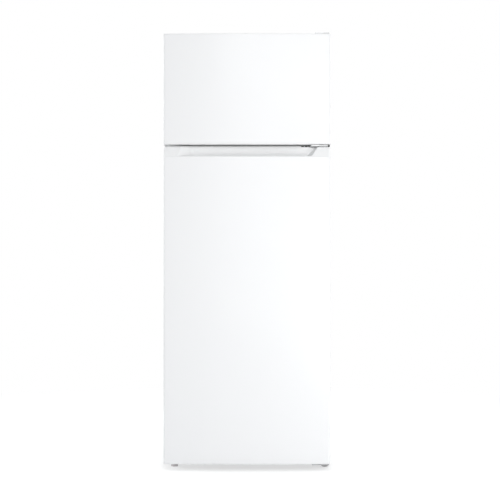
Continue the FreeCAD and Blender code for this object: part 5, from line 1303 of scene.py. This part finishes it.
# %% Compressor
shell_place = (-0.07, 0.165)
shell_radius, shell_sides, shell_steps = 0.068, 72, 8
shell_low, shell_high = 0.048, 0.188
base_radius, base_low = 0.061, shell_low - 0.0015
seam_share, seam_width = 0.68, 0.004
seam_low = shell_low + seam_share * (shell_high - shell_low)
seam_high = seam_low + seam_width
seam_radius = shell_radius + seam_width
dome = 0.034
shell_profile = rounded([
    (0, base_low), (base_radius, base_low, 0.004), (shell_radius, shell_low + 0.017, 0.014),
    (shell_radius, seam_low - 0.0005, 0.001), (seam_radius, seam_low, 0.0014),
    (seam_radius, seam_high, 0.0014), (shell_radius, seam_high + 0.0005, 0.001),
    (shell_radius - 0.001, shell_high - 0.004, dome), (0, shell_high),
], shell_steps, closed=False)
shell = turned("shell", shell_place, shell_profile, shell_sides)
place_piece("compressor_shell", shell, "compressor", "black_enamel")
print("shell:", len(shell.polygons), "faces")

# %% Foot plate of the compressor
plate_half, plate_wide, plate_corner = 0.095, 0.06, 0.011
plate_low = 0.045
lip = 0.0005
plate_rings = []
for inset, height in ((lip, plate_low), (0, plate_low + lip), (0, shell_low - lip), (lip, shell_low)):
    left, right = shell_place[0] - plate_half + inset, shell_place[0] + plate_half - inset
    start, end = shell_place[1] - plate_wide + inset, shell_place[1] + plate_wide - inset
    plate_rings.append(level(oblong(left, right, start, end, plate_corner - inset), height))
foot_plate = stack("foot_plate", plate_rings)
place_piece("compressor_foot_plate", foot_plate, "compressor", "black_enamel", replaced=False)
print("foot plate:", 2 * plate_half, "x", 2 * plate_wide, "m")

# %% Grommet bolts
bolt_radius, bolt_sides = 0.003, 18
bolt_chamfer = 0.0008
washer_radius, washer_top = 0.0075, shell_low + 0.001
bolt_top = shell_low + 0.0062
bolt_profile = [
    (0, bolt_top), (bolt_radius - bolt_chamfer, bolt_top), (bolt_radius, bolt_top - bolt_chamfer),
    (bolt_radius, washer_top), (washer_radius, washer_top), (washer_radius, shell_low), (0, shell_low),
]
bolt = turned("bolt", (0, 0), bolt_profile, bolt_sides)
bolt_aside, bolt_deep = plate_half - plate_corner, plate_wide - plate_corner
signs = [(x, y) for x in (-1, 1) for y in (-1, 1)]
places = [(shell_place[0] + bolt_aside * x, shell_place[1] + bolt_deep * y, 0) for x, y in signs]
bolts = with_model(bolt, scatter, points_mesh(places), "zinc")
place_piece("compressor_bolts", bolts, "compressor_grommets", "zinc", replaced=False)
print("bolts:", len(places))

# %% [markdown]
# Copper pipes join the compressor, the condenser and the filter drier, and two of them rise out
# of the compartment. Each is one more bent tube, tighter where the legs are short. The filter
# drier is turned, and a brazed sleeve covers each joint on the shell.

# %% Copper pipes
pipe_radius, pipe_sides, pipe_steps = 0.003, 14, 8
pipe_bend = 0.018
leg_bend = 0.7 * pipe_bend
pipe_level = 0.1713
drier_depth = 0.19255
drier_start, drier_end = 0.216, 0.126
low_port, high_port = 0.083, 0.118
compartment_top = 0.235
shell_side = shell_place[0] - shell_radius - seat

suction_x = shell_side - 2 * pipe_bend
riser_x = drier_end - 2 * pipe_bend
routes = [
    ([(shell_side, shell_place[1], low_port), (-coil_half, shell_place[1], low_port),
      (-coil_half, shell_place[1], pipe_level), (-coil_half, coil_depth, pipe_level),
      (-coil_half, coil_depth, coil_end)], leg_bend),
    ([(shell_side, shell_place[1], high_port), (suction_x, shell_place[1], high_port),
      (suction_x, shell_place[1], compartment_top)], pipe_bend),
    ([(coil_outlet, coil_depth, coil_end), (coil_outlet, coil_depth, pipe_level),
      (coil_outlet, drier_depth, pipe_level), (drier_start, drier_depth, pipe_level)], leg_bend),
    ([(drier_end, drier_depth, pipe_level), (riser_x, drier_depth, pipe_level),
      (riser_x, drier_depth, compartment_top)], pipe_bend),
]
tubes = [tube_along(points, "copper", pipe_radius, bend, pipe_sides, pipe_steps) for points, bend in routes]
pipes = joined(*tubes)
place_piece("copper_pipes", pipes, "refrigerant_pipes", "copper")
print("pipes:", len(routes), "with", len(pipes.polygons), "faces")

# %% Filter drier and sleeves
drier_radius, drier_sides, drier_steps = 0.009, 32, 4
neck_radius, neck_length, neck_cone = pipe_radius + 0.001, 0.003, 0.011
drier_profile = rounded([
    (0, drier_start), (neck_radius, drier_start), (neck_radius, drier_start - neck_length),
    (drier_radius, drier_start - neck_cone, 0.004), (drier_radius, drier_end + neck_cone, 0.004),
    (neck_radius, drier_end + neck_length), (neck_radius, drier_end), (0, drier_end),
], drier_steps, closed=False)
drier = turned("drier", (drier_depth, pipe_level), drier_profile, drier_sides, "x")
place_piece("filter_drier_turned", drier, "filter_drier", "copper")
sleeve_radius, sleeve_length, sleeve_sides = 0.0042, 0.012, 20
sleeve_end, braze = shell_side - sleeve_length, 0.001
sleeve_profile = [
    (pipe_radius, shell_side), (sleeve_radius, shell_side), (sleeve_radius, sleeve_end),
    (pipe_radius, sleeve_end - braze),
]
sleeves = []
for port in (low_port, high_port):
    sleeve = turned("sleeve", (shell_place[1], port), sleeve_profile, sleeve_sides, "x", "loop")
    sleeve.materials.append(finishes["zinc"])
    sleeves.append(sleeve)
place_piece("brazed_sleeves", joined(*sleeves), "refrigerant_pipes", None, replaced=False)
print("sleeves:", len(sleeves))

# %% [markdown]
# The back panel is held by small pan-head screws down both edges and along its foot. One head is
# turned, gets a cross recess by a Boolean, and is scattered over the list of places.

# %% Screws of the back panel
rear_low, rear_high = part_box("back_panel")
rear_face = rear_high.y
head_radius, head_height = 0.0042, 0.0018
head_sides, head_steps = 20, 3
rim_share, crown_share, round_share = 0.55, 0.6, 0.3
slot_length, slot_width, slot_depth = 0.0046, 0.0009, 0.0012


def screw_head(radius, height):
    """A domed head that lies on the origin and points back along Y."""
    corners = [
        (0, 0), (radius, 0), (radius, height * rim_share, height * round_share),
        (radius * crown_share, height), (0, height),
    ]
    profile = rounded(corners, head_steps, closed=False)
    item = bpy.data.objects.new("head", turned("head", (0, 0), profile, head_sides, "y"))
    bpy.context.scene.collection.objects.link(item)
    for wide, tall in ((slot_length, slot_width), (slot_width, slot_length)):
        ring = oblong(-wide / 2, wide / 2, -tall / 2, tall / 2, slot_width / 5, 1)
        cut(item, stack("recess", [facing(ring, height - slot_depth), facing(ring, height + overrun)]))
    mesh = item.data
    bpy.data.objects.remove(item)
    return mesh


edge_inset = 0.009
edge_screws = 6
foot_screws = 4
foot_level = rear_low.z + edge_inset
edge_rise = rear_high.z - rear_low.z - 2 * edge_inset
places = []
for side in (-1, 1):
    for k in range(edge_screws):
        height = foot_level + edge_rise * k / (edge_screws - 1)
        places.append((side * (rear_high.x - edge_inset), rear_face, height))
for k in range(1, foot_screws + 1):
    aside = rear_low.x + (rear_high.x - rear_low.x) * k / (foot_screws + 1)
    places.append((aside, rear_face, foot_level))
heads = with_model(screw_head(head_radius, head_height), scatter, points_mesh(places), "zinc")
place_piece("back_panel_screws", heads, "back_panel", "zinc", replaced=False)
print("screws:", len(places))

# %% [markdown]
# The hinges show only as thin lines from the front, but the photograph catches them. The middle
# hinge is a light grey arm with a dark plate beside it that is screwed to the rail, a white
# sleeve between the two and a dark stop at the arm's free end.

# %% Middle hinge
rail_face = -0.2095
arm_low, arm_high = 1.056, 1.06
hinge_edge = 0.0004
plate_left, plate_right, plate_round = 0.1815, 0.2068, 0.0018
plate_face, plate_back = -0.2185, rail_face - 0.003
plate_bottom, plate_top = 1.0572, 1.0615
sleeve_left, sleeve_right, sleeve_round = 0.2088, 0.2347, 0.003
sleeve_face, sleeve_back = -0.2628, -0.2155
sleeve_bottom, sleeve_top = arm_low + 0.0006, arm_high + 0.0008
sleeve_edge = 0.0006
stop_left, stop_right, stop_round = 0.2645, 0.2706, 0.0016
stop_face, stop_back = -0.2612, -0.2425
stop_bottom, stop_top = arm_low - 0.0004, arm_high + 0.0004


def slab(name, left, right, start, end, corner, low, high, edge=hinge_edge):
    """A flat box with rounded corners and softened upper and lower edges."""
    rings = []
    for inset, height in ((edge, low), (0, low + edge), (0, high - edge), (edge, high)):
        plan = oblong(left + inset, right - inset, start + inset, end - inset, corner - inset)
        rings.append(level(plan, height))
    return stack(name, rings)


dress("middle_hinge", "hinge_steel", hinge_edge)
plate = slab("plate", plate_left, plate_right, plate_face, plate_back, plate_round, plate_bottom, plate_top)
place_piece("middle_hinge_plate", plate, "middle_hinge", "dark_steel", replaced=False)
sleeve = slab(
    "sleeve", sleeve_left, sleeve_right, sleeve_face, sleeve_back, sleeve_round,
    sleeve_bottom, sleeve_top, sleeve_edge,
)
place_piece("middle_hinge_sleeve", sleeve, "middle_hinge", "white_plastic", replaced=False)
stop = slab("stop", stop_left, stop_right, stop_face, stop_back, stop_round, stop_bottom, stop_top)
place_piece("middle_hinge_stop", stop, "middle_hinge", "black_plastic", replaced=False)
print("middle hinge: arm, plate, sleeve, stop")

# %% Screws of the hinges
large_head, small_head = (0.004, 0.0025), (0.0026, 0.002)
quarter_turn = math.radians(90)
top_start, top_step, top_level = 0.222, 0.011, 1.428
top_grid = ((1.6, 1.4), (1.6, 4.0), (3.6, 5.8))
middle_across, middle_level = (0.1892, 0.2013), 1.0585
bottom_across, bottom_level = 0.22775, 0.027
bottom_depths = (-0.1505, -0.1725)
top_places = [(top_start + top_step * a, rail_face + top_step * b, top_level) for a, b in top_grid]
middle_places = [(x, plate_face, middle_level) for x in middle_across]
bottom_places = [(bottom_across, y, bottom_level) for y in bottom_depths]
groups = (
    (large_head, quarter_turn, top_places),
    (small_head, 2 * quarter_turn, middle_places),
    (large_head, -quarter_turn, bottom_places),
)
made = []
for size, turn, places in groups:
    model = screw_head(*size)
    model.transform(Matrix.Rotation(turn, 4, "X"))
    made.append(with_model(model, scatter, points_mesh(places), "zinc"))
place_piece("hinge_screw_heads", joined(*made), "hinge_screws", "zinc")
print("hinge screws:", sum(len(places) for _, _, places in groups))

# %% [markdown]
# Everything else keeps its CAD form under a finish of its own, and a bevel of half a millimetre
# softens its edges. The foam and the bulb have no bevel, because foam lies behind sheet and
# liners, and the bulb is a small turned shape behind its cover.

# %% Dress the other nodes
plain_finishes = {
    "enamel": ["side_panel_left", "side_panel_right", "top_panel"],
    # The rail's mid grey is painted shade for the gap between the doors.
    "rail_grey": ["middle_rail"],
    "galvanised": ["base_panel", "back_panel", "compressor_tray"],
    "foam": ["insulation", "fridge_door_core", "freezer_door_core"],
    "liner": ["freezer_liner", "fridge_liner", "fridge_door_liner", "freezer_door_liner"],
    "trim": ["shelf_edges", "light_switch"],
    "white_plastic": ["control_housing", "drain_spout"],
    "aluminium": ["fridge_evaporator", "freezer_evaporator"],
    "lamp_cover": ["lamp_cover"],
    "lamp_glass": ["lamp_bulb"],
    "zinc": ["roller_axles"],
    "black_plastic": [
        "rear_roller_left", "rear_roller_right", "relay_cover", "drip_tray", "condenser_spacers",
    ],
    "rubber": ["compressor_grommets"],
    "hinge_steel": ["top_hinge", "bottom_hinge"],
    "hinge_grey": ["top_hinge_cover"],
    # The left foot's light grey is partly painted light against the shadow under the cabinet.
    "foot_grey": ["front_foot_left"],
    "foot_dark": ["front_foot_right"],
}
plain_edge = 0.0005
edge_widths = {"insulation": 0, "fridge_door_core": 0, "freezer_door_core": 0, "lamp_bulb": 0}
for finish, nodes in plain_finishes.items():
    for node in nodes:
        dress(node, finish, edge_widths.get(node, plain_edge))
print("dressed:", sum(len(nodes) for nodes in plain_finishes.values()))

# %% [markdown]
# A studio for a white object. The world and the floor look white to the camera and in
# reflections, but light the object only gently. Near the object the floor is a plain pale
# surface that keeps the shadow, and further out it turns into the white of the background. Wide
# lamps stand in front, a little to the right, and one of them close to the floor, so the crowned
# doors are evenly bright from top to bottom and darken slowly towards the left, as they do in
# the photograph. Lamps at the sides, above and behind light the other faces. The one behind
# stands high, so that the metal back panel doesn't mirror it.

# %% World
def show_white(recipe):
    """1 for camera, glossy and transmission rays, 0 for the light that falls on the object."""
    path = recipe.tree.nodes.new("ShaderNodeLightPath")
    names = ("Is Camera Ray", "Is Glossy Ray", "Is Transmission Ray")
    rays = [Socket(recipe, path.outputs[name]) for name in names]
    return recipe.maths("MAXIMUM", recipe.maths("MAXIMUM", rays[0], rays[1]), rays[2])


world_light = 0.52
sky_tint, sky_white = (0.955, 0.98, 1.0, 1.0), (1.0, 1.0, 1.0, 1.0)
world = bpy.data.worlds.new("studio")
bpy.context.scene.world = world
world.use_nodes = True
sky = Recipe(world.node_tree)
seen = show_white(sky)
sky_colour = sky.node("ShaderNodeMix", {"data_type": "RGBA"}, {0: seen, 6: sky_tint, 7: sky_white}, 2)
strength = world_light + (1 - world_light) * seen
background = sky.node("ShaderNodeBackground", None, {"Color": sky_colour, "Strength": strength})
sky.node("ShaderNodeOutputWorld", None, {"Surface": background})
print("world light:", world_light)

# %% Floor
floor_white = 0.58
floor_glow = 0.54
plain_reach, white_reach = 0.7, 2.2
floor_radius, floor_sides = 30, 64

floor_finish = Finish("studio_floor")
diffuse = floor_finish.node("ShaderNodeBsdfDiffuse", None, {"Color": (*grey(floor_white), 1)})
lit = show_white(floor_finish)
glow = floor_finish.node("ShaderNodeEmission", None, {"Strength": floor_glow * lit})
near = floor_finish.node("ShaderNodeAddShader", None, {0: diffuse, 1: glow})
far = floor_finish.node("ShaderNodeEmission", None, {"Strength": world_light + (1 - world_light) * lit})
spot = {0: floor_finish.place}
distance = floor_finish.node("ShaderNodeVectorMath", {"operation": "LENGTH"}, spot, "Value")
sockets = {"Value": distance, "From Min": plain_reach, "From Max": white_reach}
fade = floor_finish.node("ShaderNodeMapRange", {"interpolation_type": "SMOOTHSTEP"}, sockets)
both = floor_finish.node("ShaderNodeMixShader", None, {0: fade, 1: near, 2: far})
floor_finish.node("ShaderNodeOutputMaterial", None, {"Surface": both})

work = bmesh.new()
bmesh.ops.create_circle(work, cap_ends=True, segments=floor_sides, radius=floor_radius)
floor_mesh = bpy.data.meshes.new("floor")
work.to_mesh(floor_mesh)
work.free()
floor_mesh.materials.append(floor_finish.material)
floor = bpy.data.objects.new("floor", floor_mesh)
bpy.context.scene.collection.objects.link(floor)
print("floor turns white from", plain_reach, "to", white_reach, "m")


# %% Lamps
def lamp(name, place, target, width, height, watts):
    """A wide rectangular lamp that points at its target."""
    light = bpy.data.lights.new(name, "AREA")
    light.shape = "RECTANGLE"
    light.size = width
    light.size_y = height
    light.energy = watts
    item = bpy.data.objects.new(name, light)
    item.location = place
    item.rotation_euler = (Vector(target) - Vector(place)).to_track_quat("-Z", "Y").to_euler()
    bpy.context.scene.collection.objects.link(item)


middle, upper, lower = (0, 0, 0.72), (0, 0, 1.0), (0, 0, 0.2)
lamps = (
    ("front_tall", (0.8, -5.2, 1.4), upper, 2.6, 2.6, 50),
    ("front_high", (0.8, -5.2, 2.4), upper, 2.6, 1.0, 27),
    ("front_low", (1.3, -2.0, 0.33), lower, 1.8, 0.55, 12),
    ("fill_left", (-3.4, 0.9, 1.5), middle, 2.2, 2.2, 46),
    ("fill_right", (3.6, 1.1, 1.5), middle, 2.2, 2.2, 28),
    ("top_soft", (0.2, 0.5, 3.8), middle, 3, 3, 30),
    ("back_soft", (0.2, 3.8, 2.5), middle, 2.6, 1.4, 44),
)
for settings in lamps:
    lamp(*settings)
print("lamps:", len(lamps))
